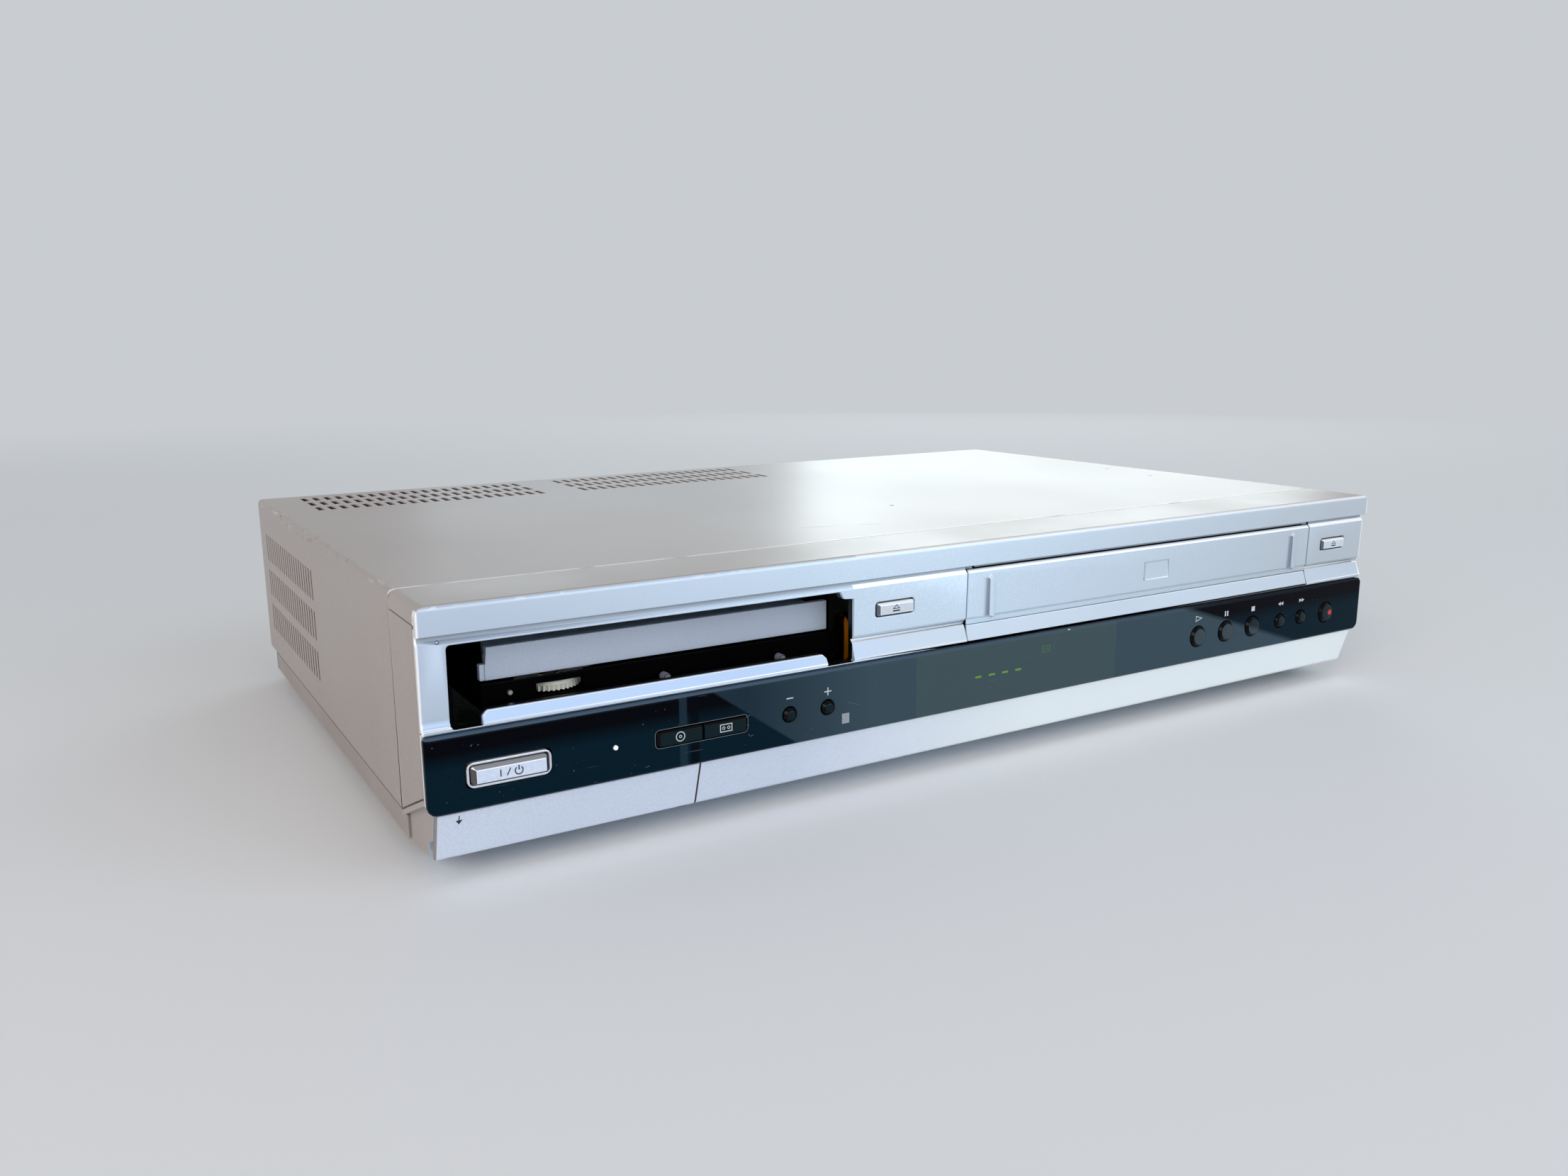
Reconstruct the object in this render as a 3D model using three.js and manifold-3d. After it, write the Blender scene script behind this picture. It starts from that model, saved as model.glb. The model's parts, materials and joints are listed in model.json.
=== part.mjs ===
// Disc player and video cassette recorder in one cabinet.
// Millimetres. +X to the right seen from the front, +Y to the back, +Z up.
// x = 0 is the middle of the cabinet, y = 0 the front of its upper band, z = 0 the table.

import * as THREE from 'three';
import { mergeVertices } from 'three/addons/utils/BufferGeometryUtils.js';
import Module from 'manifold-3d';

const wasm = await Module();
wasm.setup();

// Widths along the front, from the left end to the right, which add up to the cabinet's width
const discLeftMargin = 8.6;
const discWidth = 140.3;
const ejectSectionWidth = 50.1;
const cassetteWidth = 188;
const doorSlack = 4.8;
const doorRightMargin = 38.2;
const doorWidth = cassetteWidth + doorSlack;
const width = discLeftMargin + discWidth + ejectSectionWidth + doorWidth + doorRightMargin;

// Depths along the cassette's way, from the basket's front to the cover's back edge
const basketFront = 36;
const basketLength = 76;
const basketTravel = 58;
const tapeRoom = 21.3;
const drumRadius = 31;
const drumRearGap = 12;
const deckRearGap = 6;
const sheet = 1;
const rearInset = 0.5;
const basketInside = basketFront + basketTravel + basketLength;
const coverDepth = basketInside + tapeRoom + drumRadius * 2 + drumRearGap + deckRearGap + sheet + rearInset;

// Other overall sizes
const jackReach = 7.2;
const footHeight = 5;

// Heights of the front, from the top down
const bandHeight = 8.9;
const bandGap = 1.7;
const faceHeight = 18;
const lipHeight = 2.7;
const chinHeight = 5.8;
const panelGap = 1.2;
const panelHeight = 24;
const trimGap = 0.4;
const trimHeight = 14.6;
const trimRound = 1.4;
const skirtDrop = 2.3;

// Set-back of the front's faces behind the band
const bandEdgeRound = 1.5;
const bandCornerRound = 3;
const faceTopSet = 2.7;
const faceSet = 1.6;
const faceChamfer = 1.3;
const faceFootSet = 2;
const lipSet = 3.7;
const lipRise = 0.6;
const chinTopSet = 3;
const chinFootSet = 0.9;
const trimTopSet = 1.6;
const trimFootSet = 6.1;
const trimUnderSet = 8;
const lowerInset = 2.95;

// Clearances and cuts
const seatGap = 0.3;
const slideGap = 0.4;
const seamGap = 0.5;
const doorGap = 0.5;
const overrun = 5;

// Counts of flats on round pieces
const fineFlats = 28;
const roundFlats = 16;
const coarseFlats = 10;
const cornerFlats = 3;
const keyFlats = 2;

// Cover of folded sheet
const coverSeam = 30;
const coverBend = 2;
const coverSideDrop = 69.5;
const earTopDrop = 5.7;
const earFront = 4.5;
const earFootBack = 31.6;
const earFootFrontDrop = 57.4;
const creaseY = 31;
const creaseHeight = 0.3;
const creaseLip = 0.6;

// Slots in the cover's top
const slotLength = 11.6;
const slotWidth = 2.5;
const slotPitch = 5.03;
const slotCount = 21;
const slotRows = 3;
const slotRowPitch = 17.3;
const slotRearMargin = 13.6;
const slotGroupLeftMargin = 18.3;
const slotGroupShift = 122.7;

// Slots in the cover's sides
const sideSlotLength = 12;
const sideSlotWidth = 2.2;
const sideSlotPitch = 5.15;
const sideSlotCount = 21;
const sideSlotRows = 3;
const sideSlotRowPitch = 16.15;
const sideSlotTopDrop = 14.2;
const sideSlotRearMargin = 16;

// Chassis and rear panel
const chassisInset = 2;
const chassisWallHeight = 20;
const chassisFront = 34;
const chassisFrontWall = 14;
const bossRadius = 3.5;
const bossMargin = 12;
const mainBossSetback = 30;

// Bezel
const bezelWall = 2.2;
const bezelBack = 5.6;
const bezelLip = 6;
const bezelCheek = 2.2;
const stripHeight = 2.4;
const skirtInset = 2.7;
const skirtBack = 33;
const skirtMidY = 26.9;
const skirtMidRise = 0.3;
const skirtFrontY = 12.6;
const skirtFrontRise = 2.6;
const recessWallY = 13;
const recessWall = 2;

// Disc opening and the strip that stands in it
const discTopDrop = 1.8;
const discFootDrop = 0.3;
const discRound = 1.2;
const notchWidth = 5.6;
const notchRun = 1.4;
const notchDrop = 2.6;
const notchSlope = 0.8;
const stripLeftGap = 9.4;
const stripRightGap = 11.1;
const stripTopDrop = 2;
const stripCorner = 1.5;
const dimpleRadius = 0.6;
const dimpleDepth = 0.8;
const dimpleLeftMargin = 6.4;
const dimpleDrop = 0.7;

// Cassette door
const doorWall = 2.2;
const doorPinRadius = 1.2;
const doorPinLength = 3;
const doorPinY = 4.6;
const doorPinRise = 3.8;
const doorHeadHeight = 5;
const doorArmWidth = 3;
const gripMargin = 10.7;
const gripWidth = 2.4;
const gripHeight = 15;
const gripTopDrop = 1.6;
const gripProud = 0.9;
const badgeFromCentre = 1.2;
const badgeWidth = 13.5;
const badgeHeight = 7.2;
const badgeDrop = 6.6;
const badgeDepth = 0.35;
const lugWall = 2.4;
const lugReach = 3;
const lugDepth = 2.6;

// Eject buttons
const ejectWidth = 16.2;
const ejectHeight = 4.9;
const ejectDrop = 9.9;
const discEjectMargin = 17.5;
const cassetteEjectMargin = 20.8;
const keyGap = 0.35;
const keyProud = 0.5;
const keyTravel = 0.8;
const keyFlange = 1;
const keyFlangeWall = 0.9;
const keyStemRadius = 1.2;
const keyCorner = 0.8;

// Control panel
const panelProud = 0.5;
const panelWall = 3;
const panelEdge = 0.9;
const panelCorner = 3;
const panelTopCorner = 1;
const panelSeat = 0.3;

// Keys in the control panel: the power key from the left end, the record key from the right end,
// and each of the others from its neighbour
const keyRowDrop = 13.1;
const ringWidth = 25.9;
const ringHeight = 7.9;
const ringWall = 1.2;
const ringProud = 0.5;
const ringCorner = 1.6;
const powerMargin = 24.55;
const ledGap = 21;
const ledRadius = 0.8;
const ledDome = 0.5;
const selectGap = 13.5;
const selectWidth = 33.2;
const selectHeight = 5.7;
const selectSplit = 0.5;
const channelGap = 16.3;
const channelPitch = 15.2;
const channelRadius = 2.85;
const transportRadius = 4.6;
const windRadius = 3.25;
const recordRadius = 4.8;
const buttonProud = 0.9;
const buttonDome = 0.5;
const buttonFlange = 1.3;
const recordMargin = 25;
const forwardPitch = 17.4;
const windPitch = 14.3;
const stopPitch = 18.2;
const pausePitch = 17;
const playPitch = 17.1;

// Board behind the control panel
const boardWall = 1.6;
const frontBoardY = 14.4;
const frontBoardMargin = 8;
const frontBoardInset = 2.4;
const switchSide = 4.4;
const switchHeight = 3.4;
const frontBossRadius = 2.4;
const frontBossMargin = 42;
const displayShift = 8;
const displayWidth = 56;
const displayHeight = 15;
const displayDepth = 5;
const displayFoot = 2;
const windowMargin = 3;

// Lower trim, flap and front jacks
const flapWidth = 85.75;
const flapSplit = 0.3;
const trimWall = 2;
const flapPinY = 8.4;
const flapPinRise = 3;
const flapPinRadius = 1.1;
const flapPinLength = 2.2;
const flapReturn = 3;
const flapSideGap = 0.45;
const jackRadius = 4.1;
const jackBore = 1.6;
const jackPitch = 15;
const frontJackCount = 3;
const frontJackMargin = 40;
const frontJackReach = 3;
const frontJackDepth = 12;
const frontJackHeight = 10.6;
const frontJackDrop = 7.6;
const jackSkirt = 1.4;

// Disc loader
const trayLeftGap = 15.1;
const trayWidth = 121.9;
const trayDrop = 5.2;
const trayFrontHeight = 10.4;
const trayFrontY = 14;
const trayLength = 165;
const trayFrontWall = 2.5;
const trayPlateRise = 3.6;
const trayPlateWall = 4;
const trayStepWidth = 1.2;
const trayStepHeight = 5;
const discRadius = 60.4;
const discWell = 1.6;
const smallWellRadius = 41;
const smallWell = 1;
const discMiddle = 64;
const trayTravel = 138;
const traySlotWidth = 37;
const traySlotFront = 19;
const loaderWall = 2.4;
const loaderFloor = 1.5;
const loaderFloorDrop = 8.7;
const loaderFront = 11;
const loaderFrontWall = 1.6;
const loaderLength = 184;
const loaderRise = 1.6;
const loaderLedge = 2;
const loaderLedgeWall = 2;
const gearWindowWidth = 16;
const gearWindowHeight = 3.8;
const pegRadius = 1.3;
const pegLength = 4.8;
const pegLeftShift = 4.7;
const pegRightShift = 38.3;
const pegDrop = 0.5;
const screwRadius = 0.9;
const screwLeftGap = 5.7;
const screwDrop = 3.6;

// Loading gears: teeth and modules
const wheelTeeth = 40;
const wheelModule = 0.5;
const pinionTeeth = 12;
const pinionModule = 1;
const addendumShare = 0.8;
const dedendumShare = 1.1;
const tipHalfShare = 0.13;
const rootHalfShare = 0.3;
const gearLeftGap = 37.4;
const wheelTopDrop = 3.2;
const wheelWall = 3;
const pinionWall = 2.8;
const gearHubRadius = 3.6;
const gearBore = 1.7;
const axlePinRadius = 1.5;
const pulleyTeeth = 12;
const pulleyRadius = 8;
const pulleyGroove = 1.2;
const pulleyWall = 2;
const pulleyMeshTeeth = 3.5;
const motorPulleyRadius = 3;
const motorShift = 33;
const motorRadius = 10.5;
const motorHeight = 12;
const motorShaftRadius = 1;
const beltGap = 0.15;
const beltWall = 0.9;

// Turntable, pickup and clamp
const traverseWall = 1.2;
const traverseRise = 2.2;
const traverseWidth = 62;
const traverseFront = 26;
const traverseLength = 118;
const tableRadius = 14;
const tableWall = 2.4;
const tableDrop = 2.2;
const hubTopRadius = 5;
const hubFootRadius = 7.3;
const hubHeight = 3;
const spindleRadius = 1.5;
const spindleMotorRadius = 12;
const spindleMotorHeight = 3;
const railRadius = 1.4;
const railSpread = 14;
const railRise = 2.2;
const railStart = 22;
const railLength = 62;
const sledWidth = 33;
const sledLength = 22;
const sledHeight = 3.4;
const sledStart = 24;
const sledKeel = 16;
const sledTravel = 34;
const lensRadius = 3.2;
const lensHeight = 1;
const bridgeWall = 1;
const bridgeLength = 34;
const clamperRadius = 12;
const clamperFlange = 2;
const clamperWall = 1.2;
const clamperDrop = 1.6;
const bracketWall = 1;
const bracketFront = 42;
const bracketLegWidth = 14;
const bracketFoot = 10;

// Flat cable beside the loader
const flexWidth = 11;
const flexWall = 0.4;
const flexX = 3.6;
const flexFrontY = 9;
const flexBackY = 19;
const flexTopDrop = 12.2;
const flexFrontFoot = 4;
const flexBackFoot = 22;

// Cassette deck
const deckRise = 19;
const deckWall = 1.2;
const deckSideGap = 3.4;
const deckFront = 40;
const deckSideFront = 12;
const deckLegRadius = 3;
const cassetteSlack = 1.6;
const cassetteHeight = 25;
const basketWall = 1;
const basketLedge = 9;
const basketFall = 18;
const carriageWall = 1;
const carriageGap = 0.5;
const carriageLength = 60;
const carriageTop = 2;
const carriageBar = 10;
const reelSpan = 46;
const reelSetback = 34;
const reelRadius = 13;
const reelWall = 3;
const reelHubRadius = 5.4;
const reelHubHeight = 9;
const reelShaftRadius = 1.6;
const drumTilt = THREE.MathUtils.degToRad(5);
const lowerDrumHeight = 15;
const upperDrumHeight = 11;
const drumSeat = 7;
const drumShaftRadius = 3;
const drumFootRadius = 20;
const capstanShift = 62;
const capstanRoom = 8;
const capstanRadius = 1.6;
const capstanHeight = 26;
const flywheelRadius = 18;
const flywheelWall = 3.4;
const capstanHole = 2.2;
const pinchRadius = 5.5;
const pinchHeight = 11;
const pinchGap = 1.4;
const pinchArmLength = 18;
const pinchArmWall = 2;
const pinchArmWidth = 6;
const pinchRise = 7;
const guideRadius = 2;
const guideHeight = 22;
const guideSpread = 44;
const guideSetBack = 30;

// Boards, rear jacks, tuner and mains inlet
const mainBoardRise = 6;
const mainBoardFront = 44;
const mainBoardMargin = 9;
const boardRearGap = 9;
const mainBoardSplit = 6;
const chipSide = 22;
const chipWall = 2;
const powerBoardDepth = 58;
const powerBoardWidth = 126;
const transformerSide = 34;
const transformerHeight = 32;
const capacitorRadius = 8;
const capacitorHeight = 27;
const sinkWall = 2.4;
const sinkHeight = 34;
const sinkLength = 44;
const rearJackColumns = 4;
const rearJackRows = 2;
const rearJackPitch = 17;
const rearJackRise = 22;
const rearJackDeckGap = 0.9;
const rearJackDepth = 13;
const rearJackMargin = 9;
const tunerWidth = 46;
const tunerDepth = 46;
const tunerHeight = 26;
const tunerMargin = 22;
const antennaRadius = 4.6;
const antennaPitch = 20;
const antennaBore = 1.2;
const inletWidth = 27;
const inletHeight = 20;
const inletDepth = 17;
const inletMargin = 36;
const inletRise = 19;
const inletSocketWidth = 16.4;
const inletSocketHeight = 8.6;
const inletSocketDepth = 11;
const inletPinRadius = 1.2;
const inletPinSpread = 4.2;
const inletLip = 2;

// Feet
const footRadius = 11;
const footTaper = 1.5;
const footMarginX = 42;
const footFrontY = 52;
const footRearMargin = 38;

// Materials
const plastic = (color, roughness, metalness = 0) =>
  new THREE.MeshStandardMaterial({ color, roughness, metalness });
const coverPaint = plastic(0xa89e98, 0.5, 0.35);
const bezelSilver = plastic(0xb9c0cc, 0.42, 0.25);
const trimSilver = plastic(0xc2c8d2, 0.4, 0.25);
const glossBlack = plastic(0x05090d, 0.12);
const keySilver = plastic(0xc4c8cf, 0.35, 0.3);
const ringLight = plastic(0xd6dae2, 0.3, 0.5);
const steel = plastic(0xa5a8a8, 0.4, 0.85);
const steelDark = plastic(0x6a6d70, 0.45, 0.8);
const greyPlastic = plastic(0x96969b, 0.6);
const blackPlastic = plastic(0x141416, 0.55);
const ivoryPlastic = plastic(0xe1e1be, 0.5);
const boardGreen = plastic(0x1e5a32, 0.6);
const displayGlass = plastic(0x1c3030, 0.15);
const flexOrange = plastic(0xbe780a, 0.45);
const rubberBlack = plastic(0x0e0e0e, 0.9);
const ledWhite = plastic(0xf2f6ff, 0.2);
const darkInner = plastic(0x202226, 0.6);

// Levels of the front, worked out from the heights
const half = width / 2;
const left = -half;
const base = footHeight;
const frontHeights = [bandHeight, bandGap, faceHeight, lipHeight, chinHeight, panelGap,
  panelHeight, trimGap, trimHeight, trimRound, skirtDrop];
const top = base + frontHeights.reduce((sum, height) => sum + height, 0);
const bandFoot = top - bandHeight;
const faceTop = bandFoot - bandGap;
const faceFoot = faceTop - faceHeight;
const chinTop = faceFoot - lipHeight;
const chinFoot = chinTop - chinHeight;
const panelTop = chinFoot - panelGap;
const panelFoot = panelTop - panelHeight;
const trimTop = panelFoot - trimGap;
const trimFoot = trimTop - trimHeight;
const trimUnder = trimFoot - trimRound;
const coverFoot = top - coverSideDrop;
const coverInner = half - sheet;
const rearFace = coverDepth - rearInset;
const floorTop = base + sheet;
const lowerHalf = half - lowerInset;

// The cassette deck stands behind the middle of the door
const doorRight = half - doorRightMargin;
const doorLeft = doorRight - doorWidth;
const doorX = (doorLeft + doorRight) / 2;
const deckX = doorX;
const basketHalf = cassetteWidth / 2 + cassetteSlack / 2 + basketWall;
const carriageHalf = basketHalf + carriageGap + carriageWall;
const deckHalf = carriageHalf + carriageGap + deckWall;
const reelY = basketFront + basketTravel + reelSetback;
const capstanY = basketInside + capstanRoom;

// Solids

function toSolid(geometry) {
  const plain = geometry.clone();
  for (const name of Object.keys(plain.attributes)) {
    if (name !== 'position') plain.deleteAttribute(name);
  }
  const merged = mergeVertices(plain);
  const vertProperties = new Float32Array(merged.attributes.position.array);
  const triVerts = new Uint32Array(merged.index.array);
  return new wasm.Manifold(new wasm.Mesh({ numProp: 3, vertProperties, triVerts }));
}

function toGeometry(solid) {
  const mesh = solid.getMesh();
  const geometry = new THREE.BufferGeometry();
  geometry.setAttribute('position', new THREE.BufferAttribute(new Float32Array(mesh.vertProperties), 3));
  geometry.setIndex(new THREE.BufferAttribute(new Uint32Array(mesh.triVerts), 1));
  return geometry;
}

function join(...solids) {
  return solids.reduce((whole, solid) => whole.add(solid));
}

function cut(whole, ...tools) {
  return tools.reduce((rest, tool) => rest.subtract(tool), whole);
}

function block(x0, x1, y0, y1, z0, z1) {
  const geometry = new THREE.BoxGeometry(x1 - x0, y1 - y0, z1 - z0);
  geometry.translate((x0 + x1) / 2, (y0 + y1) / 2, (z0 + z1) / 2);
  return toSolid(geometry);
}

function outline(points) {
  return new THREE.Shape(points.map(([u, v]) => new THREE.Vector2(u, v)));
}

// An outline in x and y, raised along z.
function slabZ(points, z0, z1) {
  const geometry = new THREE.ExtrudeGeometry(outline(points), { depth: z1 - z0, bevelEnabled: false });
  geometry.translate(0, 0, z0);
  return toSolid(geometry);
}

// An outline in x and z, drawn along y.
function slabY(points, y0, y1) {
  const geometry = new THREE.ExtrudeGeometry(outline(points), { depth: y1 - y0, bevelEnabled: false });
  geometry.rotateX(Math.PI / 2);
  geometry.translate(0, y1, 0);
  return toSolid(geometry);
}

// An outline in y and z, drawn along x.
function slabX(points, x0, x1) {
  const geometry = new THREE.ExtrudeGeometry(outline(points), { depth: x1 - x0, bevelEnabled: false });
  const turn = new THREE.Matrix4().makeBasis(
    new THREE.Vector3(0, 1, 0), new THREE.Vector3(0, 0, 1), new THREE.Vector3(1, 0, 0));
  geometry.applyMatrix4(turn);
  geometry.translate(x0, 0, 0);
  return toSolid(geometry);
}

// A solid of revolution about a line along z through (x, y), from pairs of radius and height.
function turnZ(profile, x, y, flats = roundFlats) {
  const points = profile.map(([radius, height]) => new THREE.Vector2(radius, height));
  const geometry = new THREE.LatheGeometry(points, flats);
  geometry.rotateX(Math.PI / 2);
  geometry.translate(x, y, 0);
  return toSolid(geometry);
}

// The same about a line along y through (x, z). Heights run from the back to the front.
function turnY(profile, x, z, flats = roundFlats) {
  const points = profile.map(([radius, height]) => new THREE.Vector2(radius, height));
  const geometry = new THREE.LatheGeometry(points, flats);
  geometry.translate(x, 0, z);
  return toSolid(geometry);
}

function rodZ(radius, x, y, z0, z1, flats = roundFlats) {
  return turnZ([[0, z0], [radius, z0], [radius, z1], [0, z1]], x, y, flats);
}

function rodY(radius, x, z, y0, y1, flats = roundFlats) {
  return turnY([[0, y0], [radius, y0], [radius, y1], [0, y1]], x, z, flats);
}

function rodX(radius, y, z, x0, x1, flats = coarseFlats) {
  const geometry = new THREE.CylinderGeometry(radius, radius, x1 - x0, flats);
  geometry.rotateZ(Math.PI / 2);
  geometry.translate((x0 + x1) / 2, y, z);
  return toSolid(geometry);
}

// A rectangle with rounded corners, listed counter-clockwise from its lower right corner.
function roundedRectangle(u0, u1, v0, v1, radius, flats = cornerFlats) {
  const corners = [
    [u1 - radius, v0 + radius, -Math.PI / 2], [u1 - radius, v1 - radius, 0],
    [u0 + radius, v1 - radius, Math.PI / 2], [u0 + radius, v0 + radius, Math.PI]];
  const points = [];
  for (const [u, v, start] of corners) {
    for (let step = 0; step <= flats; step += 1) {
      const angle = start + (Math.PI / 2) * (step / flats);
      points.push([u + radius * Math.cos(angle), v + radius * Math.sin(angle)]);
    }
  }
  return points;
}

function mirrored(solid) {
  return solid.mirror([1, 0, 0]);
}

const cabinet = new THREE.Group();

function piece(name, solid, material, carrier = cabinet) {
  const mesh = new THREE.Mesh(toGeometry(solid), material);
  mesh.name = name;
  carrier.add(mesh);
}

// Cover: top, two sides and the ears that run forward beside the bezel

function earEdge(y) {
  const share = (y - earFront) / (earFootBack - earFront);
  return top - earFootFrontDrop - (coverSideDrop - earFootFrontDrop) * share;
}

function makeCover() {
  const section = (grow, foot) => {
    const reach = half - grow;
    const bend = coverBend - grow;
    return roundedRectangle(-reach, reach, foot - coverBend, top - grow, bend);
  };
  const outer = slabY(section(0, coverFoot), earFront, coverDepth);
  const inner = slabY(section(sheet, coverFoot - overrun), earFront - overrun, coverDepth + overrun);
  const below = block(left - overrun, half + overrun, 0, coverDepth + overrun, base - overrun, coverFoot);
  const bandNotch = block(left - overrun, half + overrun, 0, coverSeam, top - earTopDrop - seatGap, top + overrun);
  const slant = slabX([
    [earFront - overrun, coverFoot - overrun], [earFootBack, coverFoot - overrun],
    [earFootBack, coverFoot], [earFront, earEdge(earFront)], [earFront - overrun, earEdge(earFront)],
  ], left - overrun, half + overrun);
  let shell = cut(outer, inner, below, bandNotch, slant);
  const crease = slabX([
    [creaseY, coverFoot + creaseLip], [creaseY + creaseLip, coverFoot + creaseLip],
    [creaseY + creaseLip, top - earTopDrop], [creaseY, top - earTopDrop],
  ], coverInner + creaseHeight * 2, half + overrun);
  shell = cut(shell, crease, mirrored(crease));
  return cut(shell, ...topSlots(), ...sideSlots());
}

function topSlots() {
  const slots = [];
  for (const groupLeft of [left + slotGroupLeftMargin, left + slotGroupLeftMargin + slotGroupShift]) {
    for (let row = 0; row < slotRows; row += 1) {
      const y = coverDepth - slotRearMargin - row * slotRowPitch;
      for (let column = 0; column < slotCount; column += 1) {
        const x = groupLeft + column * slotPitch;
        slots.push(block(x - slotWidth / 2, x + slotWidth / 2, y - slotLength / 2, y + slotLength / 2,
          top - sheet - overrun, top + overrun));
      }
    }
  }
  return slots;
}

function sideSlots() {
  const slots = [];
  for (let row = 0; row < sideSlotRows; row += 1) {
    const z1 = top - sideSlotTopDrop - row * sideSlotRowPitch;
    for (let column = 0; column < sideSlotCount; column += 1) {
      const y = coverDepth - sideSlotRearMargin - column * sideSlotPitch;
      slots.push(block(left - overrun, half + overrun, y - sideSlotWidth / 2, y + sideSlotWidth / 2,
        z1 - sideSlotLength, z1));
    }
  }
  return slots;
}

piece('top_cover', makeCover(), coverPaint);

// Chassis: a pan of folded sheet with bosses for the boards

const chassisHalf = half - chassisInset;
const mainBoardFloor = base + mainBoardRise;
const boardRear = rearFace - sheet - boardRearGap;
const powerBoardRight = left + mainBoardMargin + powerBoardWidth;
const powerBoardFront = boardRear - powerBoardDepth;
const mainBoardRear = powerBoardFront - mainBoardSplit;

function cornersOf(x0, x1, y0, y1) {
  return [[x0, y0], [x1, y0], [x0, y1], [x1, y1]];
}

const mainBosses = cornersOf(left + mainBoardMargin + bossMargin, half - mainBoardMargin - bossMargin,
  mainBoardFront + mainBossSetback, mainBoardRear - mainBossSetback);
const powerBosses = cornersOf(left + mainBoardMargin + bossMargin, powerBoardRight - bossMargin,
  powerBoardFront + bossMargin, boardRear - bossMargin);

function makeChassis() {
  const pan = block(-chassisHalf, chassisHalf, chassisFront, rearFace - sheet - seatGap, base, floorTop);
  const side = block(chassisHalf - sheet, chassisHalf, chassisFront, rearFace - sheet - seatGap,
    base, base + chassisWallHeight);
  const front = block(-chassisHalf, chassisHalf, chassisFront, chassisFront + sheet,
    base, base + chassisFrontWall);
  const bosses = [...mainBosses, ...powerBosses].map(([x, y]) =>
    rodZ(bossRadius, x, y, base, mainBoardFloor - seatGap, coarseFlats));
  return join(pan, side, mirrored(side), front, ...bosses);
}

piece('bottom_chassis', makeChassis(), steel);

// Rear panel with its windows

const rearJackRight = deckX - deckHalf - rearJackDeckGap - rearJackMargin;
const rearJackLeft = rearJackRight - (rearJackColumns - 1) * rearJackPitch;
const rearJackFoot = base + rearJackRise;
const rearBlock = {
  x0: rearJackLeft - rearJackMargin, x1: rearJackRight + rearJackMargin,
  z0: rearJackFoot - rearJackMargin, z1: rearJackFoot + (rearJackRows - 1) * rearJackPitch + rearJackMargin };
const tunerX = half - tunerMargin - tunerWidth / 2;
const tunerFoot = mainBoardFloor + boardWall + seatGap;
const antennaZ = tunerFoot + tunerHeight / 2;
const inletX = left + inletMargin;
const inletZ = base + inletRise;

function makeRearPanel() {
  const plate = block(-chassisHalf, chassisHalf, rearFace - sheet, rearFace, base, top - sheet - seatGap);
  const window = (x0, x1, z0, z1) => block(x0 - seatGap, x1 + seatGap,
    rearFace - sheet - overrun, rearFace + overrun, z0 - seatGap, z1 + seatGap);
  const jacks = window(rearBlock.x0, rearBlock.x1, rearBlock.z0, rearBlock.z1);
  const antennas = [-1, 1].map((side) => rodY(antennaRadius + seatGap, tunerX + side * antennaPitch / 2,
    antennaZ, rearFace - sheet - overrun, rearFace + overrun, coarseFlats));
  const inlet = window(inletX - inletWidth / 2, inletX + inletWidth / 2,
    inletZ - inletHeight / 2, inletZ + inletHeight / 2);
  return cut(plate, jacks, inlet, ...antennas);
}

piece('rear_panel', makeRearPanel(), steelDark);

// Bezel: band, face, chin, the wall behind the control panel, cheeks, skirt and jack recess

const discLeft = left + discLeftMargin;
const discRight = discLeft + discWidth;
const discTop = faceTop - discTopDrop;
const discFoot = chinFoot - discFootDrop;
const doorPinZ = faceTop + doorPinRise;
const discEjectX = discRight + discEjectMargin;
const cassetteEjectX = half - cassetteEjectMargin;
const ejectZ = faceTop - ejectDrop;
const panelBackY = panelWall - panelProud;
const wallY = panelBackY + panelSeat;
const keyZ = panelTop - keyRowDrop;
const flapLeft = -lowerHalf;
const flapRight = flapLeft + flapWidth;
const flapPinZ = trimUnder + flapPinRise;
const lowerBackY = flapPinY + flapPinRadius;
const frontJackZ = trimTop - frontJackDrop;
const frontJackX = flapLeft + frontJackMargin;
const cheekOuter = coverInner - seatGap;
const skirtHalf = half - skirtInset;
const skirtInner = skirtHalf - bezelCheek;

const powerX = left + powerMargin;
const ledX = powerX + ringWidth / 2 + ledGap;
const selectX = ledX + selectGap + selectWidth / 2;
const channelDownX = selectX + selectWidth / 2 + channelGap;
const recordX = half - recordMargin;
const forwardX = recordX - forwardPitch;
const rewindX = forwardX - windPitch;
const stopX = rewindX - stopPitch;
const pauseX = stopX - pausePitch;
const playX = pauseX - playPitch;
const keyPlaces = {
  power: powerX,
  select: selectX,
  channelDown: channelDownX,
  channelUp: channelDownX + channelPitch,
  play: playX,
  pause: pauseX,
  stop: stopX,
  rewind: rewindX,
  forward: forwardX,
  record: recordX,
};

function faceSection(back) {
  return [
    [faceTopSet, bandFoot], [faceTopSet, faceTop], [faceSet, faceTop - faceChamfer],
    [faceFootSet, faceFoot], [lipSet, chinTop + lipRise * 2], [lipSet, chinTop + lipRise],
    [chinTopSet, chinTop], [chinFootSet, chinFoot], [back, chinFoot], [back, bandFoot]];
}

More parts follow.
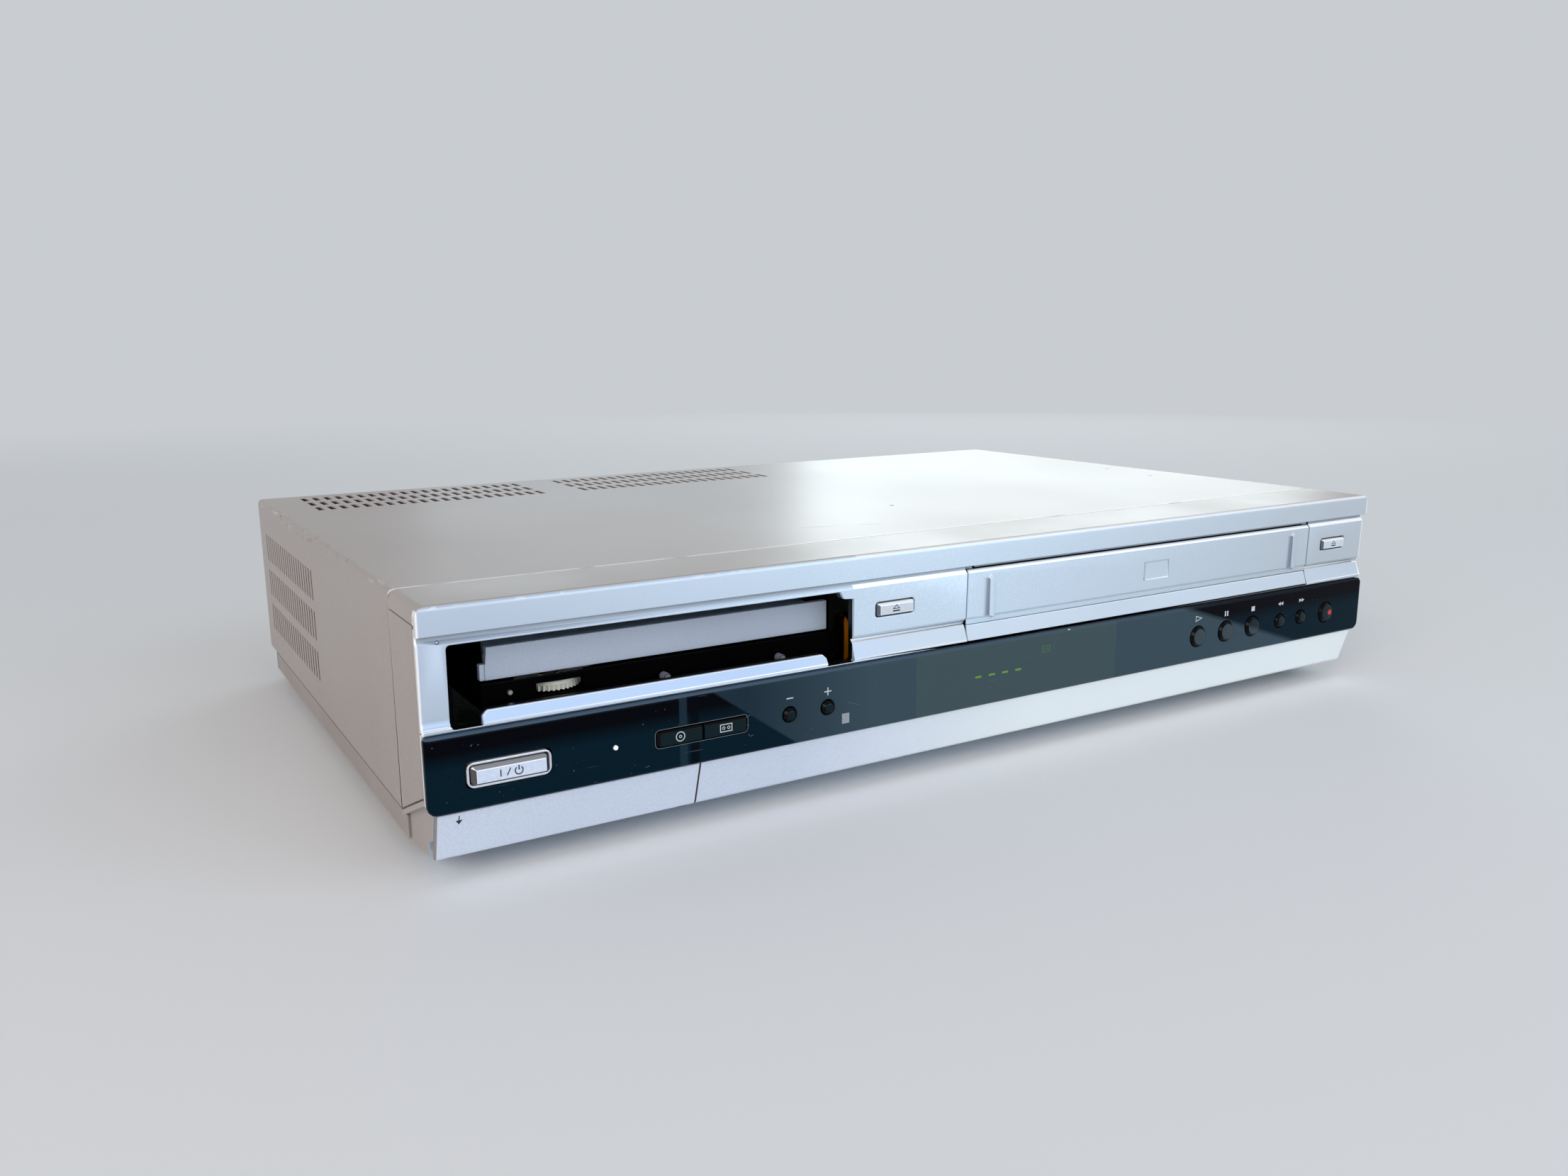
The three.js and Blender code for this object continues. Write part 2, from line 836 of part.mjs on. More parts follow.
function makeBand() {
  const profile = [[coverSeam - seatGap, top], [coverSeam - seatGap, top - bezelWall], [bezelWall, top - bezelWall],
    [bezelWall, bandFoot + bezelWall], [bezelBack, bandFoot + bezelWall], [bezelBack, bandFoot],
    [0, bandFoot], [0, top - bandEdgeRound]];
  for (let step = 1; step <= cornerFlats; step += 1) {
    const angle = Math.PI - (Math.PI / 2) * (step / cornerFlats);
    profile.push([bandEdgeRound + bandEdgeRound * Math.cos(angle),
      top - bandEdgeRound + bandEdgeRound * Math.sin(angle)]);
  }
  const bar = slabX(profile, left, half);
  const side = block(half - bezelWall, half, bezelWall / 2, coverSeam - seatGap, top - earTopDrop, top);
  const frame = slabY(roundedRectangle(left, half, base - bandCornerRound, top, bandCornerRound),
    -overrun, coverSeam + overrun);
  return join(bar, side, mirrored(side)).intersect(frame);
}

function makeFace() {
  const face = slabX(faceSection(bezelBack), left, half);
  const wall = block(left, half, wallY, bezelBack, panelFoot, chinFoot + bezelWall);
  const rail = block(left, half, chinFootSet, bezelBack, panelTop + trimGap, chinFoot + trimGap);
  return join(face, wall, rail);
}

// The back of the lower front's side returns, which the skirt follows
function returnBack(z) {
  return trimTopSet + flapReturn + ((trimFootSet - trimTopSet) * (trimTop - z)) / trimHeight;
}

function makeCheek() {
  const upper = slabX([
    [earFront - seatGap, top - bezelWall], [coverSeam - seatGap, top - bezelWall],
    [earFootBack, coverFoot - stripHeight / 2], [earFront - seatGap, earEdge(earFront) - stripHeight / 2],
  ], cheekOuter - bezelCheek, cheekOuter);
  const strip = slabX([
    [wallY, earEdge(wallY) - seamGap], [earFootBack, earEdge(earFootBack) - seamGap],
    [earFootBack, earEdge(earFootBack) - stripHeight], [wallY, earEdge(wallY) - stripHeight],
  ], skirtInner, half);
  const skirt = slabX([
    [bezelBack, earEdge(bezelBack) - stripHeight / 2], [earFootBack, earEdge(earFootBack) - stripHeight / 2],
    [skirtBack, coverFoot - stripHeight], [skirtBack, base],
    [skirtMidY, base + skirtMidRise], [skirtFrontY, base + skirtFrontRise],
    [skirtFrontY, flapPinZ + flapPinRadius], [returnBack(flapPinZ + flapPinRise) + seamGap, flapPinZ + flapPinRise],
    [returnBack(panelFoot) + seamGap, panelFoot], [bezelBack, panelFoot + bezelWall],
  ], skirtInner, skirtHalf);
  return join(upper, strip, skirt);
}

function makeRecess() {
  const wall = block(-skirtHalf, skirtHalf, recessWallY, recessWallY + recessWall,
    base + skirtFrontRise + bezelWall / 2, panelFoot + bezelWall);
  const shelf = block(-skirtHalf, skirtHalf, wallY, recessWallY + recessWall, panelFoot, panelFoot + bezelWall);
  const underside = slabX([
    [recessWallY, base + skirtFrontRise], [skirtMidY, base + skirtMidRise], [skirtBack, base],
    [skirtBack, base + bezelWall], [skirtMidY, base + bezelWall + skirtMidRise],
    [recessWallY, base + bezelWall + skirtFrontRise],
  ], -skirtHalf, skirtHalf);
  return join(wall, shelf, underside);
}

function discOutline() {
  const round = roundedRectangle(discLeft, discRight, discFoot, discTop, discRound);
  const stripLeft = discLeft + stripLeftGap;
  const stripRight = discRight - stripRightGap;
  const stripTop = chinTop - stripTopDrop;
  const stripPlan = [
    [stripLeft, discFoot - overrun], [stripRight, discFoot - overrun], [stripRight, stripTop - stripCorner],
    [stripRight - stripCorner, stripTop], [stripLeft + stripCorner, stripTop],
    [stripLeft, stripTop - stripCorner]];
  const tab = [
    [discRight - notchWidth, discTop + overrun], [discRight - notchWidth, discTop],
    [discRight - notchWidth + notchRun, discTop - notchDrop], [discRight + overrun, discTop - notchDrop - notchSlope],
    [discRight + overrun, discTop + overrun]];
  return { round, stripPlan, tab };
}

function makeDiscOpening() {
  const { round, stripPlan, tab } = discOutline();
  return cut(slabY(round, -overrun, bezelBack + overrun),
    slabY(stripPlan, -overrun * 2, bezelBack + overrun * 2), slabY(tab, -overrun * 2, bezelBack + overrun * 2));
}

function keyHole(x, z, wide, high, gap = keyGap) {
  return slabY(roundedRectangle(x - wide / 2 - gap, x + wide / 2 + gap, z - high / 2 - gap, z + high / 2 + gap,
    keyCorner + gap, keyFlats), -overrun, frontBoardY);
}

function backWindow(x0, x1) {
  return block(x0 - windowMargin, x1 + windowMargin, wallY - seatGap, bezelBack + overrun / 2,
    panelFoot + frontBoardInset + seatGap, panelTop - frontBoardInset - seatGap);
}

const displayX = displayShift;
const frontBossPlaces = [left + frontBossMargin, discRight - frontBossRadius * 3,
  playX - frontBossMargin / 2];

function makeBezel() {
  const body = join(makeBand(), makeFace(), makeCheek(), mirrored(makeCheek()), makeRecess());
  const lip = block(-chassisHalf + bezelCheek, chassisHalf - bezelCheek, coverSeam - overrun, coverSeam + bezelLip,
    top - sheet - seatGap - bezelWall, top - sheet - seatGap);
  const earCut = block(cheekOuter, half + overrun, earFront - seatGap, coverSeam + overrun,
    earEdge(bezelBack) - seamGap, top - earTopDrop);
  const lower = block(skirtHalf, half + overrun, -overrun, bezelBack + seatGap, base, earEdge(earFront) - stripHeight);
  const doorHole = block(doorLeft - doorGap, doorRight + doorGap, -overrun, bezelBack + overrun,
    chinFoot - doorGap, faceTop + doorGap);
  const bosses = frontBossPlaces.map((x) => rodY(frontBossRadius, x, panelTop - frontBossRadius * 2,
    wallY, frontBoardY - seatGap, coarseFlats));
  const lugs = [doorLeft - doorGap - lugWall, doorRight + doorGap].map((x) =>
    block(x, x + lugWall, bezelWall / 2, doorPinY + lugDepth, bandFoot + bezelWall / 2, top - bezelWall / 2));
  const pinBores = [doorLeft - doorGap - lugWall - seatGap, doorRight].map((x) =>
    rodX(doorPinRadius + keyGap, doorPinY, doorPinZ, x, x + doorGap + lugWall + seatGap));
  const armPockets = [doorLeft - doorGap, doorRight - doorArmWidth - doorGap].map((x) =>
    block(x, x + doorArmWidth + doorGap * 2, bezelWall, doorPinY + lugDepth,
      bandFoot - overrun / 2, bandFoot + bezelWall + overrun));
  const flapLugs = [flapLeft + flapReturn + flapSideGap, flapRight - flapReturn - lugWall - flapSideGap].map((x) =>
    cut(join(
      block(x, x + lugWall, flapPinY, recessWallY + seatGap, flapPinZ - lugReach + trimRound, flapPinZ + lugReach),
      rodX(lugReach - trimRound / 2, flapPinY, flapPinZ, x, x + lugWall)),
    rodX(flapPinRadius + keyGap, flapPinY, flapPinZ, x - overrun, x + lugWall + overrun)));
  const windows = [
    backWindow(keyPlaces.power - ringWidth / 2, keyPlaces.power + ringWidth / 2),
    backWindow(ledX - windowMargin, ledX + windowMargin),
    backWindow(keyPlaces.select - selectWidth / 2, keyPlaces.select + selectWidth / 2),
    backWindow(keyPlaces.channelDown - transportRadius, keyPlaces.channelUp + transportRadius),
    backWindow(displayX - displayWidth / 2, displayX + displayWidth / 2),
    backWindow(keyPlaces.play - transportRadius, keyPlaces.record + recordRadius)];
  const jackHoles = [];
  for (let index = 0; index < frontJackCount; index += 1) {
    jackHoles.push(rodY(jackRadius + seatGap, frontJackX + index * jackPitch, frontJackZ,
      recessWallY - overrun / 2, recessWallY + recessWall + overrun, coarseFlats));
  }
  const dimple = rodY(dimpleRadius, left + dimpleLeftMargin, faceTop - dimpleDrop,
    -overrun, faceTopSet + dimpleDepth, coarseFlats);
  const whole = cut(join(cut(body, earCut, mirrored(earCut), lower, mirrored(lower), doorHole,
    makeDiscOpening(), ...windows), lip, ...bosses, ...lugs, ...flapLugs), ...jackHoles, dimple,
  ...pinBores, ...armPockets,
  keyHole(discEjectX, ejectZ, ejectWidth, ejectHeight), keyHole(cassetteEjectX, ejectZ, ejectWidth, ejectHeight));
  return whole;
}

piece('front_bezel', makeBezel(), bezelSilver);

// Control panel: a bevelled gloss plate with the holes for its keys

function panelOutline(shrink) {
  const side = half - shrink;
  const foot = panelFoot + shrink;
  const head = panelTop - shrink;
  const points = [];
  for (let step = 0; step <= cornerFlats; step += 1) {
    const angle = -Math.PI / 2 + (Math.PI / 2) * (step / cornerFlats);
    points.push([side - panelCorner + panelCorner * Math.cos(angle), foot + panelCorner + panelCorner * Math.sin(angle)]);
  }
  points.push([side, head - panelTopCorner], [side - panelTopCorner, head]);
  const other = points.map(([x, z]) => [-x, z]).reverse();
  return [...points, ...other];
}

function panelBody() {
  const front = panelOutline(panelEdge);
  const back = panelOutline(0);
  const count = front.length;
  const rows = [[front, -panelProud], [back, panelEdge - panelProud], [back, panelBackY]];
  const positions = [];
  for (const [row, y] of rows) {
    for (const [x, z] of row) positions.push(x, y, z);
  }
  const index = [];
  for (let level = 0; level < rows.length - 1; level += 1) {
    for (let place = 0; place < count; place += 1) {
      const next = (place + 1) % count;
      const a = level * count + place;
      const b = level * count + next;
      index.push(a, a + count, b, b, a + count, b + count);
    }
  }
  const caps = THREE.ShapeUtils.triangulateShape(front.map(([x, z]) => new THREE.Vector2(x, z)), []);
  const last = (rows.length - 1) * count;
  for (const [a, b, c] of caps) {
    index.push(a, b, c, last + a, last + c, last + b);
  }
  const geometry = new THREE.BufferGeometry();
  geometry.setAttribute('position', new THREE.Float32BufferAttribute(positions, 3));
  geometry.setIndex(index);
  return toSolid(geometry);
}

function roundHole(x, radius) {
  return rodY(radius, x, keyZ, -overrun, panelBackY + overrun);
}

function makePanel() {
  return cut(panelBody(),
    slabY(roundedRectangle(keyPlaces.power - ringWidth / 2 - seatGap, keyPlaces.power + ringWidth / 2 + seatGap,
      keyZ - ringHeight / 2 - seatGap, keyZ + ringHeight / 2 + seatGap, ringCorner + seatGap), -overrun, overrun),
    keyHole(keyPlaces.select, keyZ, selectWidth, selectHeight, 0),
    rodY(ledRadius + seatGap, ledX, keyZ, -overrun, overrun, coarseFlats),
    roundHole(keyPlaces.channelDown, channelRadius), roundHole(keyPlaces.channelUp, channelRadius),
    roundHole(keyPlaces.play, transportRadius), roundHole(keyPlaces.pause, transportRadius),
    roundHole(keyPlaces.stop, transportRadius), roundHole(keyPlaces.rewind, windRadius),
    roundHole(keyPlaces.forward, windRadius), roundHole(keyPlaces.record, recordRadius));
}

piece('control_panel', makePanel(), glossBlack);

// Keys: a cap in its hole, a flange behind the hole and a stem to its switch

const switchFront = frontBoardY - switchHeight;
const stemBack = switchFront - keyTravel - seatGap;
const flangeFront = panelBackY + seatGap;

function roundKey(x, holeRadius, proud = buttonProud) {
  const radius = holeRadius - keyGap;
  const front = -panelProud - proud;
  return turnY([[0, stemBack], [keyStemRadius, stemBack], [keyStemRadius, flangeFront + keyFlangeWall],
    [holeRadius + buttonFlange, flangeFront + keyFlangeWall], [holeRadius + buttonFlange, flangeFront],
    [radius, flangeFront], [radius, front + buttonDome], [radius - buttonDome, front], [0, front]].reverse(), x, keyZ);
}

function barKey(x, z, wide, high, front, flangeY, stemEnd, flange = keyFlange) {
  const cap = slabY(roundedRectangle(x - wide / 2, x + wide / 2, z - high / 2, z + high / 2, keyCorner, keyFlats),
    front, flangeY + keyFlangeWall);
  const back = block(x - wide / 2 - flange, x + wide / 2 + flange, flangeY, flangeY + keyFlangeWall,
    z - high / 2 - keyFlange, z + high / 2 + keyFlange);
  const stem = rodY(keyStemRadius, x, z, flangeY, stemEnd, coarseFlats);
  return join(cap, back, stem);
}

const ringInnerWidth = ringWidth - ringWall * 2;
const ringInnerHeight = ringHeight - ringWall * 2;

function makeRing() {
  const outer = slabY(roundedRectangle(keyPlaces.power - ringWidth / 2, keyPlaces.power + ringWidth / 2,
    keyZ - ringHeight / 2, keyZ + ringHeight / 2, ringCorner), -panelProud - ringProud, panelBackY);
  return cut(outer, slabY(roundedRectangle(keyPlaces.power - ringInnerWidth / 2, keyPlaces.power + ringInnerWidth / 2,
    keyZ - ringInnerHeight / 2, keyZ + ringInnerHeight / 2, keyCorner), -overrun, overrun));
}

piece('power_button_ring', makeRing(), ringLight);
piece('power_button', barKey(keyPlaces.power, keyZ, ringInnerWidth - keyGap * 2, ringInnerHeight - keyGap * 2,
  -panelProud - buttonProud, flangeFront, stemBack), keySilver);

const halfSelect = selectWidth / 2 - keyGap - selectSplit / 2;
for (const [name, side] of [['select_button_left', -1], ['select_button_right', 1]]) {
  const x = keyPlaces.select + side * (halfSelect / 2 + selectSplit / 2);
  piece(name, barKey(x, keyZ, halfSelect, selectHeight - keyGap * 2, -panelProud - keyProud, flangeFront,
    stemBack, 0), glossBlack);
}

piece('channel_down_button', roundKey(keyPlaces.channelDown, channelRadius), glossBlack);
piece('channel_up_button', roundKey(keyPlaces.channelUp, channelRadius), glossBlack);
piece('play_button', roundKey(keyPlaces.play, transportRadius), glossBlack);
piece('pause_button', roundKey(keyPlaces.pause, transportRadius), glossBlack);
piece('stop_button', roundKey(keyPlaces.stop, transportRadius), glossBlack);
piece('rewind_button', roundKey(keyPlaces.rewind, windRadius), glossBlack);
piece('forward_button', roundKey(keyPlaces.forward, windRadius), glossBlack);
piece('record_button', roundKey(keyPlaces.record, recordRadius), glossBlack);

// Eject keys press on long stems past the bezel's back

const ejectStem = bezelBack + seatGap + keyFlangeWall + keyTravel;
for (const [name, x] of [['disc_eject_button', discEjectX], ['cassette_eject_button', cassetteEjectX]]) {
  piece(name, barKey(x, ejectZ, ejectWidth, ejectHeight, faceSet - keyProud, bezelBack + seatGap, ejectStem), keySilver);
}

// Front board with a switch behind each key, and the display on it

const boardTop = panelTop - frontBoardInset;
const boardFoot = panelFoot + frontBoardInset;

function makeFrontBoard() {
  const board = block(left + frontBoardMargin, half - frontBoardMargin, frontBoardY, frontBoardY + boardWall,
    boardFoot, boardTop);
  const places = [keyPlaces.power, keyPlaces.select - halfSelect / 2 - selectSplit / 2,
    keyPlaces.select + halfSelect / 2 + selectSplit / 2, keyPlaces.channelDown, keyPlaces.channelUp,
    keyPlaces.play, keyPlaces.pause, keyPlaces.stop, keyPlaces.rewind, keyPlaces.forward, keyPlaces.record];
  const switches = places.map((x) => block(x - switchSide / 2, x + switchSide / 2, switchFront,
    frontBoardY + boardWall / 2, keyZ - switchSide / 2, keyZ + switchSide / 2));
  return join(board, ...switches);
}

piece('front_board', makeFrontBoard(), boardGreen);
piece('status_led', turnY([[0, frontBoardY - seatGap], [ledRadius, frontBoardY - seatGap],
  [ledRadius, -panelProud], [ledRadius / 2, -panelProud - ledDome], [0, -panelProud - ledDome]].reverse(),
ledX, keyZ, coarseFlats), ledWhite);
piece('display_module', join(
  block(displayX - displayWidth / 2, displayX + displayWidth / 2, flangeFront, flangeFront + displayDepth,
    keyZ - displayHeight / 2, keyZ + displayHeight / 2),
  block(displayX - displayWidth / 2 + displayFoot, displayX + displayWidth / 2 - displayFoot,
    flangeFront + displayDepth / 2, frontBoardY - seatGap, keyZ - displayFoot, keyZ + displayFoot)), displayGlass);

// Lower trim and the flap beside it, both on one sloping section

function slopeSection(backOffset) {
  const lean = (trimFootSet - trimTopSet) / trimHeight;
  return [
    [trimTopSet, trimTop], [trimTopSet + trimWall, trimTop],
    [trimTopSet + trimWall + lean * (trimHeight - trimWall), trimFoot + trimWall],
    [backOffset, trimUnder + trimWall], [backOffset, trimUnder], [trimUnderSet, trimUnder],
    [trimFootSet + (trimUnderSet - trimFootSet) / 3, trimUnder + trimRound / 3], [trimFootSet, trimFoot]];
}

// An end of the lower front: the slope with its side return
function makeReturn(x0, x1) {
  return slabX([[trimTopSet, trimTop], [returnBack(trimTop), trimTop],
    [returnBack(flapPinZ + flapPinRise), flapPinZ + flapPinRise], [lowerBackY, flapPinZ + flapPinRadius],
    [lowerBackY, trimUnder], [trimUnderSet, trimUnder],
    [trimFootSet + (trimUnderSet - trimFootSet) / 3, trimUnder + trimRound / 3], [trimFootSet, trimFoot]], x0, x1);
}

// The whole of a lower front from end to end
function makeSlope(x0, x1) {
  const lap = flapReturn / 4;
  return join(slabX(slopeSection(lowerBackY), x0 + flapReturn - lap, x1 - flapReturn + lap),
    makeReturn(x0, x0 + flapReturn), makeReturn(x1 - flapReturn, x1));
}

function makeLowerTrim() {
  const x0 = flapRight + flapSplit;
  const flange = block(x0 + seatGap, skirtInner - seatGap, trimTopSet + trimWall / 2, recessWallY - seatGap,
    trimTop - trimWall, trimTop - seatGap);
  return join(makeSlope(x0, lowerHalf), flange);
}

piece('lower_trim', makeLowerTrim(), trimSilver);

function makeFlap() {
  const x1 = flapRight - flapSplit;
  const leftPin = rodX(flapPinRadius, flapPinY, flapPinZ, flapLeft + flapReturn / 2, flapLeft + flapReturn
    + flapSideGap + flapPinLength);
  const rightPin = rodX(flapPinRadius, flapPinY, flapPinZ, x1 - flapReturn - flapSideGap - flapPinLength,
    x1 - flapReturn / 2);
  const whole = join(makeSlope(flapLeft, x1), leftPin, rightPin);
  const lugCut = [flapLeft + flapReturn, x1 - flapReturn - flapSideGap * 2 - lugWall].map((x) =>
    block(x, x + lugWall + flapSideGap * 2, flapPinY - lugReach, flapPinY + overrun,
      trimUnder - overrun, flapPinZ + lugReach + flapSideGap));
  return join(cut(whole, ...lugCut), leftPin, rightPin);
}

piece('av_flap', makeFlap(), trimSilver);

function makeFrontJacks() {
  const x0 = frontJackX - frontJackHeight / 2;
  const x1 = frontJackX + (frontJackCount - 1) * jackPitch + frontJackHeight / 2;
  let solid = block(x0, x1, recessWallY + recessWall + seatGap, recessWallY + recessWall + frontJackDepth,
    frontJackZ - frontJackHeight / 2, frontJackZ + frontJackHeight / 2);
  for (let index = 0; index < frontJackCount; index += 1) {
    const x = frontJackX + index * jackPitch;
    solid = join(solid, rodY(jackRadius, x, frontJackZ, recessWallY - frontJackReach,
      recessWallY + recessWall + frontJackDepth / 2, coarseFlats));
    solid = cut(solid, rodY(jackBore, x, frontJackZ, recessWallY - frontJackReach - overrun,
      recessWallY + recessWall, coarseFlats));
  }
  return solid;
}

piece('front_jack_block', makeFrontJacks(), blackPlastic);

// Cassette door, hung on two pins at its top


function makeDoor() {
  const section = faceSection(faceSet + doorWall * 2);
  const body = slabX(section, doorLeft, doorRight);
  const below = block(doorLeft - overrun, doorRight + overrun, faceSet + doorWall, bezelBack + overrun,
    base, faceTop - doorHeadHeight);
  const above = block(doorLeft - overrun, doorRight + overrun, -overrun, bezelBack + overrun, faceTop, top);
  const chinBack = slabX([[chinTopSet, chinTop + lipRise], [chinTopSet + doorWall, chinTop + lipRise],
    [chinFootSet + doorWall, chinFoot], [chinFootSet, chinFoot]], doorLeft, doorRight);
  const lipBack = block(doorLeft, doorRight, faceSet + doorWall / 2, lipSet + doorWall / 2,
    chinTop, faceFoot + doorWall);
  const grips = [doorLeft + gripMargin, doorRight - gripMargin].map((x) => {
    const z1 = faceTop - gripTopDrop - gripWidth;
    const z0 = z1 - gripHeight;
    return slabY([[x - gripWidth / 2, z0 + gripWidth / 2], [x + gripWidth / 2, z0], [x + gripWidth / 2, z1],
      [x, z1 + gripWidth / 2], [x - gripWidth / 2, z1]], faceSet - gripProud, faceFootSet + doorWall / 2);
  });
  const badge = block(doorX + badgeFromCentre - badgeWidth / 2, doorX + badgeFromCentre + badgeWidth / 2,
    -overrun, faceSet + badgeDepth, faceTop - badgeDrop - badgeHeight, faceTop - badgeDrop);
  const arms = [doorLeft, doorRight - doorArmWidth].map((x) =>
    block(x, x + doorArmWidth, doorPinY - doorPinRadius, doorPinY + doorPinRadius,
      faceTop - doorHeadHeight, doorPinZ + doorPinRadius));
  const pins = [[doorLeft - doorPinLength + keyGap, doorLeft + doorWall / 2],
    [doorRight - doorWall / 2, doorRight + doorPinLength - keyGap]].map(([x0, x1]) =>
    rodX(doorPinRadius, doorPinY, doorPinZ, x0, x1));
  return cut(join(cut(body, below, above), chinBack, lipBack, ...grips, ...arms, ...pins), badge);
}

piece('cassette_door', makeDoor(), bezelSilver);

// Disc loader: frame, tray, gears, motor and belt

const trayLeft = discLeft + trayLeftGap;
const trayRight = trayLeft + trayWidth;
const trayTop = discTop - trayDrop;
const trayFoot = trayTop - trayFrontHeight;
const plateFoot = trayFoot + trayPlateRise;
const plateTop = plateFoot + trayPlateWall;
const trayX = (trayLeft + trayRight) / 2;
const discY = trayFrontY + discMiddle;
const trayRear = trayFrontY + trayLength;
const loaderLeft = trayLeft - slideGap - loaderWall;
const loaderRight = trayRight + slideGap + loaderWall;
const loaderFoot = trayFoot - loaderFloorDrop;
const loaderFloorTop = loaderFoot + loaderFloor;
const loaderTop = trayTop + loaderRise;
const loaderRear = loaderFront + loaderLength;

const wheelRadius = (wheelTeeth * wheelModule) / 2;
const pinionPitchRadius = (pinionTeeth * pinionModule) / 2;
const pulleyPitchRadius = (pulleyTeeth * wheelModule) / 2;
const wheelTip = wheelRadius + addendumShare * wheelModule;
const gearX = discLeft + gearLeftGap;
const gearY = loaderFront + loaderFrontWall + slideGap + wheelTip;
const wheelTop = trayFoot - wheelTopDrop;
const wheelFoot = wheelTop - wheelWall;
const pinionTop = plateFoot - slideGap;
const pinionFoot = pinionTop - pinionWall;
const meshAngle = (2 * Math.PI * pulleyMeshTeeth) / wheelTeeth;
const pulleyX = gearX + (wheelRadius + pulleyPitchRadius) * Math.cos(meshAngle);
const pulleyY = gearY + (wheelRadius + pulleyPitchRadius) * Math.sin(meshAngle);
const pulleyFoot = wheelTop + slideGap;
const pulleyTopZ = pulleyFoot + pulleyWall;
const motorX = pulleyX + motorShift;
const motorY = pulleyY;

// Straight-sided teeth with room at their flanks, the first one centred on the start angle.
function gearOutline(teeth, module, start) {
  const pitch = (teeth * module) / 2;
  const tip = pitch + addendumShare * module;
  const root = pitch - dedendumShare * module;
  const step = (2 * Math.PI) / teeth;
  const points = [];
  for (let tooth = 0; tooth < teeth; tooth += 1) {
    const middle = start + tooth * step;
    const rootHalf = rootHalfShare * step;
    const tipHalf = tipHalfShare * step;
    for (const [radius, angle] of [[root, -rootHalf], [tip, -tipHalf], [tip, tipHalf], [root, rootHalf]]) {
      points.push([radius * Math.cos(middle + angle), radius * Math.sin(middle + angle)]);
    }
  }
  return points;
}

function gear(teeth, module, start, x, y, z0, z1) {
  return slabZ(gearOutline(teeth, module, start).map(([u, v]) => [u + x, v + y]), z0, z1);
}

function makeRack() {
  const pitch = Math.PI * pinionModule;
  const line = gearX + pinionPitchRadius;
  const tip = line - addendumShare * pinionModule;
  const root = line + dedendumShare * pinionModule;
  const backX = root + pinionModule * 2;
  const first = Math.ceil((trayFrontY + trayFrontWall - gearY) / pitch);
  const last = Math.floor((trayTravel + pinionPitchRadius) / pitch);
  const points = [];
  for (let tooth = first; tooth < last; tooth += 1) {
    const y = gearY + (tooth + 0.5) * pitch;
    const rootHalf = rootHalfShare * pitch;
    const tipHalf = tipHalfShare * pitch;
    points.push([root, y - rootHalf], [tip, y - tipHalf], [tip, y + tipHalf], [root, y + rootHalf]);
  }
  points.push([backX, points[points.length - 1][1]], [backX, points[0][1]]);
  return slabZ(points.reverse(), pinionFoot - slideGap / 2, plateFoot + trayPlateWall / 4);
}

function makeTray() {
  const plate = block(trayLeft, trayRight, trayFrontY, trayRear, plateFoot, plateTop);
  const front = block(trayLeft, trayRight, trayFrontY, trayFrontY + trayFrontWall, trayFoot, trayTop);
  const step = block(trayLeft - trayStepWidth / 2, trayLeft + trayStepWidth, trayFrontY,
    trayFrontY + trayFrontWall, trayFoot, trayFoot + trayStepHeight);
  const well = rodZ(discRadius, trayX, discY, plateTop - discWell, plateTop + overrun, fineFlats * 2);
  const smallWellCut = rodZ(smallWellRadius, trayX, discY, plateTop - discWell - smallWell, plateTop, fineFlats);
  const slot = block(trayX - traySlotWidth / 2, trayX + traySlotWidth / 2, discY - traySlotFront,
    trayRear + overrun, trayFoot - overrun, plateTop + overrun);
  return cut(join(plate, front, step, makeRack()), well, smallWellCut, slot);
}

piece('disc_tray', makeTray(), greyPlastic);

